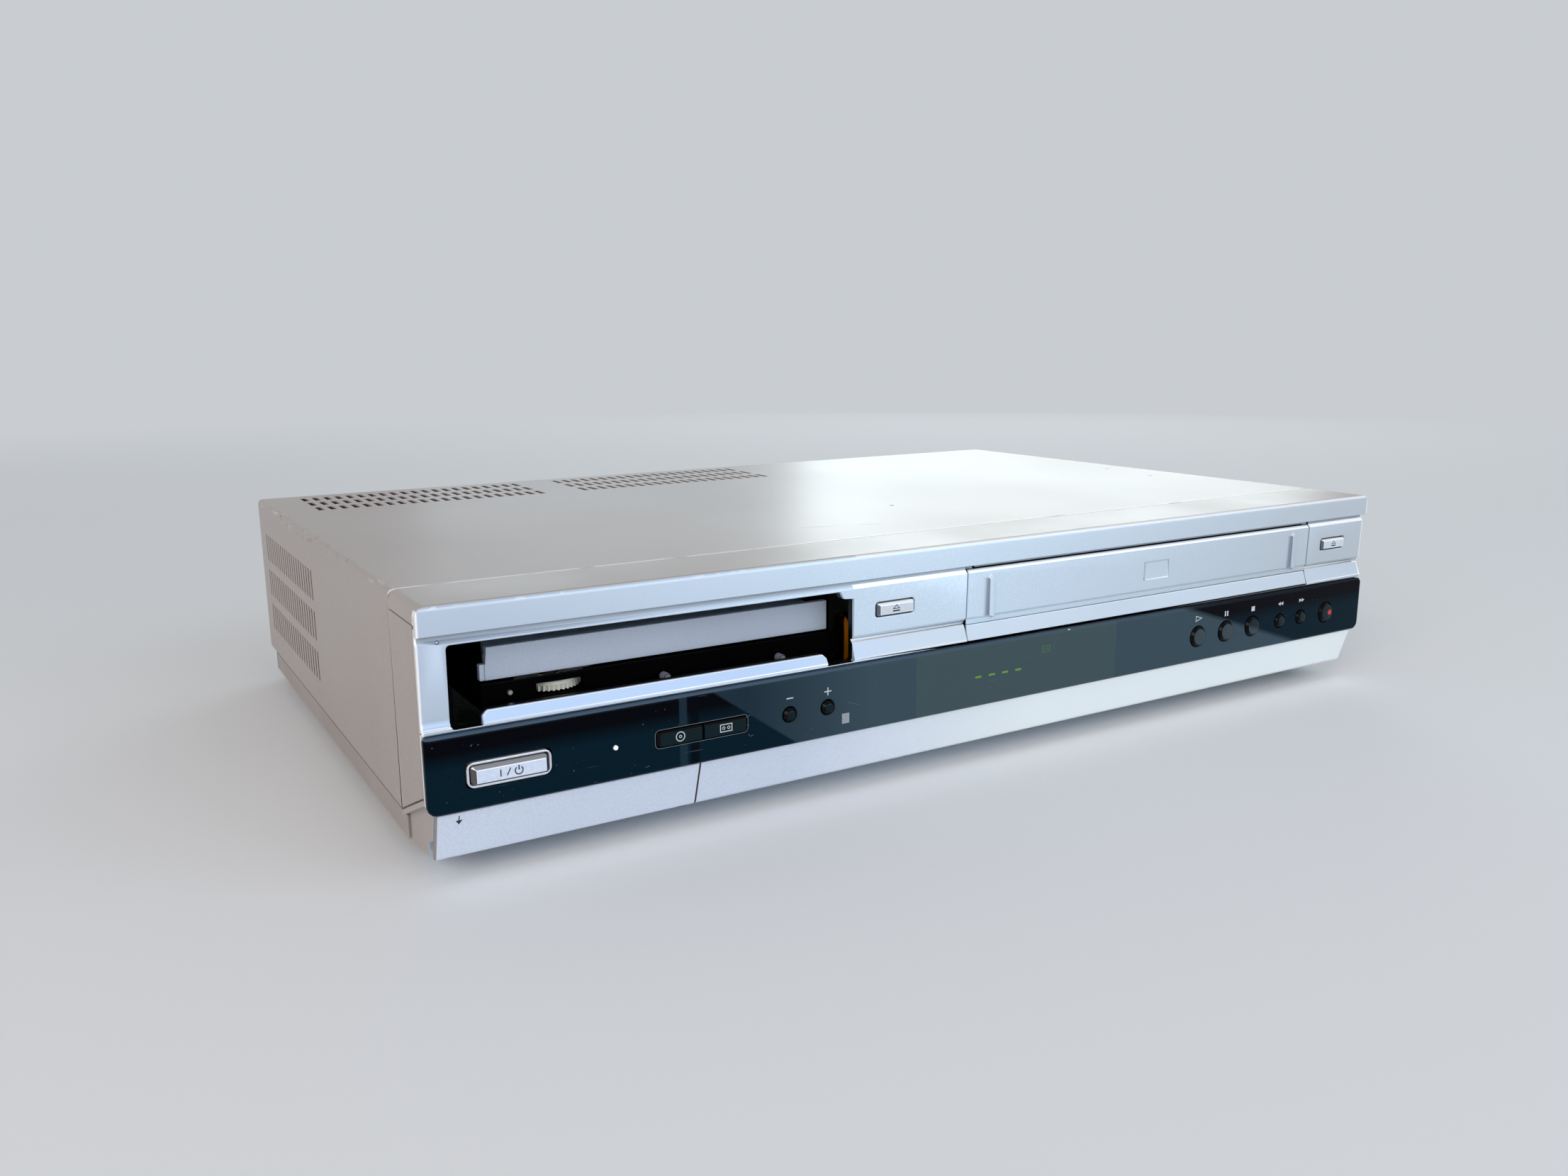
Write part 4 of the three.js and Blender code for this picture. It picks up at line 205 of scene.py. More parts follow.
def startFinish(name, look):
    material = bpy.data.materials.new(name)
    material.use_nodes = True
    bench["tree"] = material.node_tree
    shader = material.node_tree.nodes["Principled BSDF"]
    look = {**plainLook, **look}
    fill(shader, Base_Color=look["color"], Roughness=look["roughness"], Metallic=look["metallic"],
         Coat_Weight=look["coat"], Specular_IOR_Level=look["specular"])
    bench["place"] = addNode("TexCoord").outputs["Object"]
    finishes[name] = material
    return shader


# A paint or moulded plastic: fine flecks, broad clouding, uneven gloss and a fine skin, toned by a function if given
def makeFinish(name, look, tone=None):
    look = {**plainLook, **look}
    shader = startFinish(name, look)
    fleck = noise(look["fleckScale"], look["fleckDetail"])
    cloud = noise(look["cloudScale"], look["cloudDetail"])
    depth = look["fleckDepth"]
    paint = mix(ramp(fleck, *look["fleckSpan"]), rgba(look["color"], 1 - depth), rgba(look["color"], 1 + depth))
    paint = mix(ramp(cloud, *look["cloudSpan"], 0, look["cloudDepth"]), paint,
                rgba(look.get("cloudColor", look["color"]), look["cloudGain"]))
    rough, spread = look["roughness"], look["roughSpread"]
    fill(shader, Base_Color=tone(look, paint) if tone else paint,
         Roughness=ramp(cloud, *look["roughSpan"], rough - spread, rough + spread))
    addBump(shader, fleck, look["skin"], look["skinDepth"])


# Plain metals and plastics
paintLooks = {
    "ring_light": {"color": (224, 227, 234), "roughness": 0.16, "metallic": 0.6, "skin": 0.02},
    "steel": {"color": (176, 178, 178), "roughness": 0.36, "metallic": 0.9, "cloudScale": 30},
    "steel_dark": {"color": (112, 114, 117), "roughness": 0.42, "metallic": 0.8, "cloudScale": 30},
    "grey_plastic": {"color": (189, 200, 215), "roughness": 0.4, "cloudColor": (181, 192, 206)},
    "black_plastic": {"color": (13, 13, 15), "roughness": 0.5, "fleckDepth": 0.2, "cloudColor": (9, 9, 11),
                      "specular": 0.35},
    "rubber_black": {"color": (22, 22, 23), "roughness": 0.85, "fleckDepth": 0.25, "skin": 0.3},
    "led_white": {"color": (240, 244, 255), "roughness": 0.15, "coat": 0.5, "fleckDepth": 0.01},
    "display_glass": {"color": (20, 36, 36), "roughness": 0.12, "coat": 0.8},
    # The loader frame: black plastic made darker still, as painted shade inside the opening
    "loaderBlack": {"color": (2, 2, 3), "roughness": 0.7, "fleckDepth": 0.2, "cloudColor": (1, 1, 2),
                    "specular": 0.02},
    "pegGrey": {"color": (122, 124, 136), "roughness": 0.45, "cloudColor": (104, 106, 118)},
}
for name, look in paintLooks.items():
    makeFinish(name, look)


# Cover: warm grey-silver paint with a painted highlight along its front edge, worn bends, a few rubbed marks, and
# painted shade on the slot walls

coverFinish = {
    "color": (181, 170, 164), "cloudColor": (176, 165, 158), "roughness": 0.34, "metallic": 0.3, "cloudDepth": 0.3,
    "cloudScale": 9, "fleckDepth": 0.07, "roughSpread": 0.015, "wear": (120, 106, 99), "bareAndHighlight": (236, 234, 230),
    "bendX": 0.2145, "bendZ": 0.0855, "nearBend": (0.0006, 0.0040, 1, 0), "patch": (420, 5.0, (1, 0.3, 1)),
    "patchSpan": (0.56, 0.66, 0, 0.75), "crowd": (30, 2.0), "crowdSpan": (0.45, 0.6), "rub": (260, 4.0, (1, 0.2, 1)),
    "rubSpan": (0.6, 0.68, 0, 0.5), "seamY": -0.1093, "seamSpan": (0.0008, 0.0011, 1, 0),
    "seamRise": (0.0843, 0.0855, 0.12, 1), "break": (45, 3.0), "breakSpan": (0.34, 0.44), "slotShade": (66, 54, 58),
    "slotBehind": -0.1, "slotTurn": (0.2, 0.4, 1, 0),
}


def toneCover(look, paint):
    x, y, z = addPlace()
    bend = ramp(addMath("ADD", away(away(x), look["bendX"]), away(z, look["bendZ"])), *look["nearBend"])
    worn = times(bend, patches(look, "crowd"), patches(look, "patch"))
    shine = times(bend, patches(look, "rub"))
    # painted highlight: a broken pale line along the front edge at the seam; the same pale colour is bare paint at the
    # worn bends
    seamHighlight = times(ramp(away(y, look["seamY"]), *look["seamSpan"]), ramp(z, *look["seamRise"]), patches(look, "break"))
    across, facing, rising = addFacing()
    # painted shade: the slot walls, which face sideways behind the front, are darkened
    wall = times(ramp(larger(away(across), away(rising)), *look["slotTurn"]), over(y, look["slotBehind"]))
    paint = mix(shine, mix(worn, paint, look["wear"]), look["bareAndHighlight"])
    return mix(wall, mix(seamHighlight, paint, look["bareAndHighlight"]), look["slotShade"])


makeFinish("cover_paint", coverFinish, toneCover)


# Chassis: the cover's paint on the strip that shows below the cover, and painted shade, near black, above it and
# inside.
# Gear: ivory plastic, with painted shade on the teeth above its wheel

chassisFinish = {
    "color": (178, 168, 162), "cloudColor": (162, 148, 138), "roughness": 0.4, "metallic": 0.3, "upper": (16, 12, 20),
    "upperRise": (0.0127, 0.0131),
}
gearFinish = {
    "color": (255, 254, 236), "cloudColor": (250, 244, 212), "roughness": 0.42, "cloudScale": 60,
    "upper": (26, 22, 14), "upperRise": (0.0551, 0.0554),
}


def shadeUpper(look, paint):
    # painted shade, near black, above the given height
    return mix(ramp(addPlace()[2], *look["upperRise"]), paint, look["upper"])


makeFinish("chassisPaint", chassisFinish, shadeUpper)
makeFinish("ivory_plastic", gearFinish, shadeUpper)


# Bezel: silver paint with painted shade at both ends and on the chin, a painted warm light on its top and cheeks,
# painted highlights on its upper and side edges and along the front's upper edge, painted shade below the band, beside
# the door's ribs and inside, and chips along the front's upper edge

bezelFinish = {
    "color": (213, 231, 246), "cloudColor": (208, 226, 241), "roughness": 0.34, "metallic": 0.25,
    "left": (190, 203, 219), "leftSpan": (-0.2, -0.07, 1, 0), "right": (190, 199, 206), "rightSpan": (-0.02, 0.19),
    "chin": (178, 199, 226), "chinRight": (190, 201, 211), "chinTurn": (-0.1, -0.04), "chinTop": 0.0554,
    "chinRise": (0.08, 0.2), "paintedWarmLight": (181, 171, 165), "warmAbove": 0.0846, "warmBeside": 0.2121,
    "warmTurn": (-0.75, -0.45), "setBack": -0.1381, "shade": (132, 136, 142), "shadeSpan": (0.0740, 0.0767),
    "shadeTop": 0.0771, "gripShade": (146, 154, 172), "grips": (-0.0065, 0.1649), "gripZ": (0.0572, 0.0716),
    "gripReach": (-0.0022, 0.0001), "edgeHighlight": (253, 254, 255), "brightFrom": -0.0664, "brightRise": (0.4, 0.55),
    "brightTurn": (-0.4, -0.2, 1, 0), "edgeX": 0.2147, "edgeSpan": (0.0002, 0.0005, 1, 0), "edgeBehind": -0.1362,
    "inside": (9, 10, 13), "insideY": -0.1364, "insideTurn": (-0.75, -0.5), "insideX": (-0.2066, 0.2119),
    "insideZ": (0.0474, 0.0762), "mouthFoot": 0.0526, "footRise": 0.8, "chip": (250, 251, 254), "chipY": -0.1389,
    "chipZ": 0.0853, "nearChip": (0.0002, 0.0009, 1, 0), "flake": (420, 3.0, (0.6, 1, 1)), "flakeSpan": (0.52, 0.56),
    "crowd": (22, 2.0), "crowdSpan": (0.5, 0.62), "highlightAlong": (-0.12, 0.02, 0.1, 0.9),
}


def toneBezel(look, paint):
    x, y, z = addPlace()
    across, facing, rising = addFacing()
    setBack = over(y, look["setBack"])
    # painted shade at both ends of the front
    for side in ("right", "left"):
        paint = mix(ramp(x, *look[side + "Span"]), paint, look[side])
    # painted shade on the chin's upward faces
    chin = mix(ramp(x, *look["chinTurn"]), look["chin"], look["chinRight"])
    paint = mix(times(ramp(rising, *look["chinRise"]), under(z, look["chinTop"])), paint, chin)
    paint = mix(times(ramp(z, *look["shadeSpan"]), under(z, look["shadeTop"]), setBack), paint, look["shade"])
    start, end = look["gripReach"]
    for grip in look["grips"]:
        near = times(ramp(x, grip + start, grip), under(x, grip + end), between(z, *look["gripZ"]))
        paint = mix(near, paint, look["gripShade"])
    # painted warm light on the top and the cheeks, where they don't face forward
    outside = larger(over(z, look["warmAbove"]), over(away(x), look["warmBeside"]))
    paintedWarmLight = times(outside, ramp(facing, *look["warmTurn"]))
    # painted highlights on upward-facing upper edges and in a thin line along the side edges
    upEdge = times(ramp(rising, *look["brightRise"]), ramp(facing, *look["brightTurn"]),
                   larger(over(x, look["brightFrom"]), under(z, look["shadeSpan"][0])))
    sideEdge = times(ramp(away(away(x), look["edgeX"]), *look["edgeSpan"]), under(y, look["edgeBehind"]))
    paint = mix(larger(upEdge, sideEdge), mix(paintedWarmLight, paint, look["paintedWarmLight"]), look["edgeHighlight"])
    # painted shade, near black, on the inside of the opening and on the mouth's floor
    paintedDark = times(over(y, look["insideY"]), ramp(facing, *look["insideTurn"]))
    foot = times(over(rising, look["footRise"]), under(z, look["mouthFoot"]), setBack)
    inner = times(larger(paintedDark, foot), between(x, *look["insideX"]), between(z, *look["insideZ"]))
    # chips along the front's upper edge are wear; the line along it that grows to the right is a painted highlight in
    # the same pale colour
    edge = ramp(addMath("ADD", away(y, look["chipY"]), away(z, look["chipZ"])), *look["nearChip"])
    chips = times(edge, patches(look, "crowd"), patches(look, "flake"))
    frontEdgeHighlight = times(edge, ramp(x, *look["highlightAlong"]))
    return mix(larger(chips, frontEdgeHighlight), mix(inner, paint, look["inside"]), look["chip"])


makeFinish("bezel_silver", bezelFinish, toneBezel)


# Lower trim and flap: silver paint with a painted reflection that makes it paler to the right, and painted shade,
# darker and warmer, where it doesn't face forward

trimFinish = {
    "color": (220, 229, 244), "cloudColor": (216, 225, 240), "roughness": 0.32, "metallic": 0.25,
    "right": (248, 255, 255), "rightSpan": (-0.09, 0.02), "end": (146, 136, 132), "endTurn": (-0.5, -0.3),
}


def toneTrim(look, paint):
    # painted reflection: paler to the right
    paler = mix(ramp(addPlace()[0], *look["rightSpan"]), paint, look["right"])
    # painted shade where the faces don't face forward
    return mix(ramp(addFacing()[1], *look["endTurn"]), paler, look["end"])


makeFinish("trim_silver", trimFinish, toneTrim)


# Control panel: polished black with a painted dark reflection towards its top, a slate-coloured painted highlight
# along its top edge, two narrow upright bands near its left, one lighter and one darker, and a greyish painted
# reflection between two slanting lines near both ends, greener over the display, with dust specks and hair scratches

glossFinish = {
    "color": (2, 28, 40), "roughness": 0.06, "specular": 0.05, "paintedDark": (0, 2, 9), "deepRise": (0.0372, 0.0425),
    "strips": ((-0.1332, 0.0016, (30, 50, 62)), (-0.1292, 0.0018, (0, 4, 12))), "stripShare": 0.8, "stripCore": 0.7,
    "slateHighlight": (74, 93, 112), "slateRise": (0.0469, 0.0470), "slateSpan": (-0.08, 0.12, 1, 0.1),
    "reflectionStart": (30, 48, 59), "reflection": (60, 78, 88), "reflectionRise": (-0.11, -0.06), "reflectionLeft": (-0.1228, 0.0473, 1.39),
    "reflectionRight": (0.0997, 0.0472, 3.03), "leftSpan": (-0.0006, 0.0006), "rightSpan": (-0.004, 0.003, 1, 0),
    "window": (68, 84, 88), "windowStart": (-0.0409, -0.0405), "windowEnd": (0.0581, 0.0585, 1, 0),
    "dust": (104, 114, 120), "speck": (900, 2.0), "speckSpan": (0.745, 0.775, 0, 0.8),
    "hair": (120, 2.0, (0.25, 1, 6)), "hairSpan": (0.735, 0.75, 0, 0.35), "smear": (25, 3.0),
    "smearSpan": (0.3, 0.7, 0.04, 0.1),
}


# How far a point lies to the right of a slanting line, given by a place on it and its slope
def addBeyond(x, z, line):
    startX, startZ, slope = line
    return addMath("SUBTRACT", addMath("ADD", x, times(addMath("SUBTRACT", z, startZ), slope)), startX)


def makeGloss(name, look):
    shader = startFinish(name, look)
    x, y, z = addPlace()
    # painted dark reflection towards the top
    clear = mix(ramp(z, *look["deepRise"]), look["color"], look["paintedDark"])
    # two narrow upright bands, one lighter and one darker
    for middle, half, tone in look["strips"]:
        clear = mix(ramp(away(x, middle), half * look["stripCore"], half, look["stripShare"], 0), clear, tone)
    # painted reflection, greyish and greener over the display window, between two slanting lines
    reflection = mix(times(ramp(x, *look["windowStart"]), ramp(x, *look["windowEnd"])),
               mix(ramp(x, *look["reflectionRise"]), look["reflectionStart"], look["reflection"]), look["window"])
    reflected = times(ramp(addBeyond(x, z, look["reflectionLeft"]), *look["leftSpan"]),
                   ramp(addBeyond(x, z, look["reflectionRight"]), *look["rightSpan"]))
    # painted highlight along the top edge
    edge = times(ramp(z, *look["slateRise"]), ramp(x, *look["slateSpan"]))
    ground = mix(edge, mix(reflected, clear, reflection), look["slateHighlight"])
    dirt = larger(patches(look, "speck"), patches(look, "hair"))
    fill(shader, Base_Color=mix(dirt, ground, look["dust"]), Roughness=patches(look, "smear"))


makeGloss("gloss_black", glossFinish)


# Light keys: painted shade and painted highlights on the bevels by the way each faces, with a painted highlight on the
# ridge round the face
keyTurns = {"ridgeHighlight": (-0.995, -0.985), "upper": (0.55, 0.62), "right": (0.6, 0.7), "left": (-0.5, -0.4, 1, 0)}
keyPlain = {"roughness": 0.3, "metallic": 0.2, "skin": 0.03}
keyLooks = {
    "key_silver": {"color": (219, 232, 252), "ridgeHighlight": (250, 252, 255), "upper": (148, 148, 152),
                   "left": (84, 82, 86), "right": (176, 182, 194)},
    "ejectSilver": {"color": (214, 222, 230), "ridgeHighlight": (252, 254, 255), "upper": (254, 255, 255),
                    "left": (92, 100, 112), "right": (226, 232, 238)},
}


def toneKey(look, paint):
    across, facing, rising = addFacing()
    # painted light on the ridge and on the upper, right and left bevels, by the way each faces
    for part, way in (("ridgeHighlight", facing), ("upper", rising), ("right", across), ("left", across)):
        paint = mix(ramp(way, *keyTurns[part]), paint, look[part])
    return paint


for name, look in keyLooks.items():
    makeFinish(name, {**keyPlain, **look}, toneKey)


# Black keys: polished faces with a painted reflection like the panel's beside them, and painted shade, near black, on
# the bevels
blackKeyFinish = {
    "color": (7, 30, 36), "roughness": 0.12, "specular": 0.12, "fleckDepth": 0.1, "skin": 0.02, "reflected": (60, 70, 76),
    "reflectedFrom": -0.07, "reflectionBeyond": (20, 36, 42), "reflectionEdgeSpan": (-0.003, 0.004), "side": (1, 2, 3),
    "sideTurn": (-0.97, -0.93),
}


def toneBlackKey(look, paint):
    x, y, z = addPlace()
    # painted reflection on the faces, as on the panel beside them
    face = mix(over(x, look["reflectedFrom"]), paint, look["reflected"])
    face = mix(ramp(addBeyond(x, z, glossFinish["reflectionRight"]), *look["reflectionEdgeSpan"]), face, look["reflectionBeyond"])
    # painted shade, near black, on the bevels
    return mix(ramp(addFacing()[1], *look["sideTurn"]), face, look["side"])


makeFinish("keyBlack", blackKeyFinish, toneBlackKey)


# Flat cable of the loader: orange film, dark over its left part

flexFinish = {
    "color": (236, 146, 16), "roughness": 0.22, "cloudColor": (206, 112, 6), "cloudScale": 90, "leftDark": (6, 5, 6),
    "leftDarkSpan": (-0.0583, -0.0579, 1, 0), "wave": (90, 1.0), "waveDepth": 0.002,
}


def toneFlex(look, paint):
    wavy = addMath("ADD", addPlace()[0], times(noise(*look["wave"]), look["waveDepth"]))
    return mix(ramp(wavy, *look["leftDarkSpan"]), paint, look["leftDark"])


makeFinish("flex_orange", flexFinish, toneFlex)


# Circuit board: green lacquer with lighter tracks

boardFinish = {
    "color": (24, 78, 44), "roughness": 0.4, "track": (52, 118, 66), "coat": 0.3, "cellScale": 190,
    "trackSpan": (0.05, 0.1, 1, 0), "height": (0.2, 0.00004),
}


def makeBoard(name, look):
    shader = startFinish(name, look)
    cells = addNode("TexVoronoi", feature="DISTANCE_TO_EDGE")
    tracks = ramp(fill(cells, Scale=look["cellScale"], Vector=bench["place"])["Distance"], *look["trackSpan"])
    fill(shader, Base_Color=mix(tracks, look["color"], look["track"]))
    addBump(shader, tracks, *look["height"])


makeBoard("board_green", boardFinish)


# Prints, scuffs, a painted highlight and lights on the front, and the jacks' sleeves: colour, roughness and depth of
# the flecks
printLooks = {
    "printLight": ((198, 204, 208), 0.5, 0.08), "printGrey": ((150, 156, 160), 0.5, 0.1),
    "printDark": ((30, 31, 44), 0.5, 0.08), "rimGrey": ((104, 108, 108), 0.3, 0.08),
    "printRed": ((220, 44, 36), 0.4, 0.08), "scuffPale": ((226, 226, 224), 0.5, 0.12),
    "scuffDark": ((74, 64, 62), 0.6, 0.2), "scuffGloss": ((82, 92, 98), 0.4, 0.25),
    "glowGreen": ((84, 132, 40), 0.4, 0.1), "glowDim": ((56, 104, 60), 0.4, 0.1),
    "sleeveYellow": ((222, 190, 40), 0.4, 0.05), "sleeveWhite": ((232, 232, 230), 0.4, 0.05),
    "sleeveRed": ((176, 30, 34), 0.4, 0.05),
}
glows = {"glowGreen": ((130, 210, 50), 0.12), "glowDim": ((70, 150, 60), 0.05), "led_white": ((240, 246, 255), 0.3)}
for name, (color, roughness, fleckDepth) in printLooks.items():
    makeFinish(name, {"color": color, "roughness": roughness, "fleckDepth": fleckDepth})
for name, (color, strength) in glows.items():
    fill(finishes[name].node_tree.nodes["Principled BSDF"], Emission_Color=color, Emission_Strength=strength)
print("finishes made:", len(finishes))


# Pieces

def finishPiece(obj, body, finish, replaced=()):
    obj.data.materials.clear()
    obj.data.materials.append(finishes[finish])
    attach(obj, body)
    if replaced:
        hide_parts(*replaced)
    return obj


def meshObject(name, bm):
    mesh = bpy.data.meshes.new(name)
    bm.normal_update()
    bm.to_mesh(mesh)
    bm.free()
    obj = bpy.data.objects.new(name, mesh)
    scene.collection.objects.link(obj)
    return obj


plainAngle = 40  # edges that turn by more degrees stay sharp


def shade(obj, angle):
    obj.data.shade_smooth()
    obj.data.set_sharp_from_angle(angle=math.radians(angle))


def smooth(obj, angle=plainAngle):
    shade(obj, angle)
    obj.modifiers.new("evenNormals", "WEIGHTED_NORMAL").keep_sharp = True
    return obj


def breakEdges(bm, lines, width, steps, clamp=False):
    bmesh.ops.bevel(bm, geom=lines, offset=width * mm, offset_type="OFFSET", segments=steps, profile=0.5,
                    affect="EDGES", clamp_overlap=clamp)


# Each item of a row with the one that follows it, and the last with the first if the row is closed
def neighbours(row, closed=True):
    pairs = list(zip(row, row[1:] + row[:1]))
    return pairs if closed else pairs[:-1]


# Left post of the bezel: its face runs down to a short hollow flare; old and new places in y and z
leftPost = {"leftOf": -206.3, "nearEnough": 0.1, "moves": (
    ((2.0, 57.4), (2.12, 52.2)), ((3.7, 55.9), (2.05, 51.3)), ((3.7, 55.3), (1.9, 50.6)), ((3.0, 54.7), (1.6, 49.9)))}


def shapePost(bm, look):
    moved = 0
    for vert in bm.verts:
        for (oldY, oldZ), (newY, newZ) in look["moves"]:
            miss = abs(vert.co.y / mm - frontY - oldY) + abs(vert.co.z / mm - oldZ)
            if vert.co.x < look["leftOf"] * mm and miss < look["nearEnough"]:
                vert.co.y, vert.co.z = (newY + frontY) * mm, newZ * mm
                moved += 1
                break
    return moved


# A CAD node's shape with its sharp edges broken
softening = {"weld": 0.01, "flatAngle": 0.4, "sharpAngle": 42, "steps": 2}


def softCopy(node, edge, look):
    bm = bmesh.new()
    bm.from_mesh(nodes[node].data)
    bmesh.ops.remove_doubles(bm, verts=bm.verts, dist=look["weld"] * mm)
    bmesh.ops.dissolve_limit(bm, angle_limit=math.radians(look["flatAngle"]), use_dissolve_boundaries=False,
                             verts=bm.verts, edges=bm.edges, delimit=set())
    if node == "front_bezel":
        print("post corners moved:", shapePost(bm, leftPost))
    if edge:
        corners = [line for line in bm.edges if len(line.link_faces) == 2
                   and line.calc_face_angle(0) > math.radians(look["sharpAngle"])
                   and line.calc_length() > edge * mm * 2]
        breakEdges(bm, corners, edge, look["steps"])
    return smooth(meshObject(node + "_dressed", bm))


# Width in millimetres by which each piece's edges are broken
edgeWidths = {
    "top_cover": 0.25, "front_bezel": 0.3, "control_panel": 0.4, "cassette_door": 0.4, "lower_trim": 0.15,
    "av_flap": 0.15, "disc_tray": 0.3, "rear_panel": 0.15, "bottom_chassis": 0.2, "ac_inlet": 0.3,
    "rear_jack_block": 0.2, "tuner_box": 0.2,
}
ownFinishes = {
    "loader_frame": "loaderBlack", "bottom_chassis": "chassisPaint", "disc_eject_button": "ejectSilver",
    "cassette_eject_button": "ejectSilver", "select_button_left": "keyBlack", "select_button_right": "keyBlack",
}


# Keys are built here from outlines, in millimetres, from their backs to their fronts; slopes are the widths of the
# bevels at the left, right, top and foot

def arc(x, z, radius, start, end, steps=20):
    angles = [math.radians(start + (end - start) * step / steps) for step in range(steps + 1)]
    return [(x + radius * math.cos(angle), z + radius * math.sin(angle)) for angle in angles]


def roundOutline(x, z, radius, count=48, start=0):
    return arc(x, z, radius, start, start + 360, count)[:-1]


def barOutline(x0, x1, z0, z1, corners, steps=6):
    footRight, topRight, topLeft, footLeft = corners
    return (arc(x1 - footRight, z0 + footRight, footRight, -90, 0, steps)
            + arc(x1 - topRight, z1 - topRight, topRight, 0, 90, steps)
            + arc(x0 + topLeft, z1 - topLeft, topLeft, 90, 180, steps)
            + arc(x0 + footLeft, z0 + footLeft, footLeft, 180, 270, steps))


def bridge(bm, near, far):
    for (a, b), (c, d) in zip(neighbours(near), neighbours(far)):
        bm.faces.new((a, b, d, c))


# Outlines joined one behind the other; rounded holds the widths by which some of them are rounded over
def stackOutlines(name, layers, rounded, hollow=False, steps=3, angle=50):
    bm = bmesh.new()
    rings = [[bm.verts.new((x * mm, y * mm, z * mm)) for x, z in outline] for y, outline in layers]
    if not hollow:
        bm.faces.new(rings[0])
        bm.faces.new(rings[-1])
    for near, far in neighbours(rings, hollow):
        bridge(bm, near, far)
    bmesh.ops.recalc_face_normals(bm, faces=bm.faces)
    for layer, width in rounded.items():
        breakEdges(bm, [bm.edges.get(pair) for pair in neighbours(rings[layer])], width, steps)
    return smooth(meshObject(name, bm), angle)


panelY = frontY - 0.5
keyBack = frontY + 3.6
keyZ = 34.6
ejectZ = 65.5
powerRing = {
    "x": -190.45, "z": keyZ, "wide": 25.9, "high": 7.9, "wall": 0.72, "corner": 2.4, "innerShare": 0.5,
    "front": panelY - 0.4, "back": frontY + 2.5, "edges": (0.25, 0.12),
}
powerKey = {
    "x": -190.6, "z": keyZ, "wide": 23.3, "high": 5.4, "corners": (0.9, 0.9, 0.9, 0.9), "faceCornerShare": 0.2,
    "front": panelY - 1.2, "back": keyBack, "depth": 1.2, "edge": 0.2, "slopes": (1.6, 0.5, 1.2, 0.15),
}
selectKey = {
    "z": keyZ, "wide": 16.0, "high": 5.0, "faceCornerShare": 0.7, "front": panelY - 0.7, "back": keyBack, "depth": 0.6,
    "edge": 0.08,
}
ejectKey = {
    "z": ejectZ, "wide": 15.6, "high": 4.3, "corners": (0.5, 0.5, 0.5, 0.5), "faceCornerShare": 0.4,
    "front": frontY + 1.1, "back": frontY + 5.9, "depth": 0.8, "edge": 0.15, "slopes": (1.1, 0.4, 0.75, 0.2),
}
roundKey = {
    "z": keyZ, "front": panelY - 1.2, "back": keyBack, "depth": 1.3, "dome": 0.14, "slope": 0.9, "edge": 0.1,
    "rings": ((1, 1), (0.3, 0.62), (0, 0.2)),
}
barKeys = {
    "power_button": powerKey,
    "select_button_left": {
        **selectKey, "x": -134.65, "corners": (0.25, 0.25, 1.3, 1.3), "slopes": (1.0, 0.15, 0.65, 0.2)},
    "select_button_right": {
        **selectKey, "x": -118.15, "corners": (1.3, 1.3, 0.25, 0.25), "slopes": (0.15, 0.5, 0.65, 0.2)},
    "disc_eject_button": {**ejectKey, "x": -48.6},
    "cassette_eject_button": {**ejectKey, "x": 194.2},
}
roundKeys = {
    "channel_down_button": (-93.5, 2.5), "channel_up_button": (-78.3, 2.5), "play_button": (106, 4.25),
    "pause_button": (123.1, 4.25), "stop_button": (140.1, 4.25), "rewind_button": (158.3, 2.9),
    "forward_button": (172.6, 2.9), "record_button": (190, 4.45),
}


def sidesOf(look):
    x, z, wide, high = look["x"], look["z"], look["wide"] / 2, look["high"] / 2
    return x - wide, x + wide, z - high, z + high


def makePowerRing(look):
    x0, x1, z0, z1 = sidesOf(look)
    wall, corner = look["wall"], look["corner"]
    outer = barOutline(x0, x1, z0, z1, [corner] * 4)
    inner = barOutline(x0 + wall, x1 - wall, z0 + wall, z1 - wall, [corner * look["innerShare"]] * 4)
    layers = [(look["back"], outer), (look["front"], outer), (look["front"], inner), (look["back"], inner)]
    return stackOutlines("power_button_ring_dressed", layers, dict(zip((1, 2), look["edges"])), hollow=True)


def makeBarKey(node, look):
    x0, x1, z0, z1 = sidesOf(look)
    left, right, top, foot = look["slopes"]
    front = look["front"]
    full = barOutline(x0, x1, z0, z1, look["corners"])
    face = barOutline(x0 + left, x1 - right, z0 + foot, z1 - top,
                      [corner * look["faceCornerShare"] for corner in look["corners"]])
    layers = [(look["back"], full), (front + look["depth"], full), (front, face)]
    return stackOutlines(node + "_dressed", layers, {1: look["edge"], 2: look["edge"]})


def makeRoundKey(node, x, radius, look):
    z, front = look["z"], look["front"]
    layers = [(look["back"], roundOutline(x, z, radius)), (front + look["depth"], roundOutline(x, z, radius))]
    layers += [(front + look["dome"] * rise, roundOutline(x, z, (radius - look["slope"]) * reach))
               for rise, reach in look["rings"]]
    return stackOutlines(node + "_dressed", layers, {1: look["edge"], 2: look["edge"]})


dressed = {"power_button_ring": makePowerRing(powerRing)}
dressed.update({node: makeBarKey(node, look) for node, look in barKeys.items()})
dressed.update({node: makeRoundKey(node, x, radius, roundKey) for node, (x, radius) in roundKeys.items()})
print("keys made:", len(dressed))

ownFinishes.update({node: "keyBlack" for node in roundKeys})
for node in nodes:
    piece = dressed.get(node) or softCopy(node, edgeWidths.get(node, 0), softening)
    finishPiece(piece, bodyOf[node], ownFinishes.get(node, slotOf[node]), (node,))
print("pieces dressed:", len(nodes))


# Printed marks: polygons in x and z, each a thin plate that stands a little proud of the face it is printed on

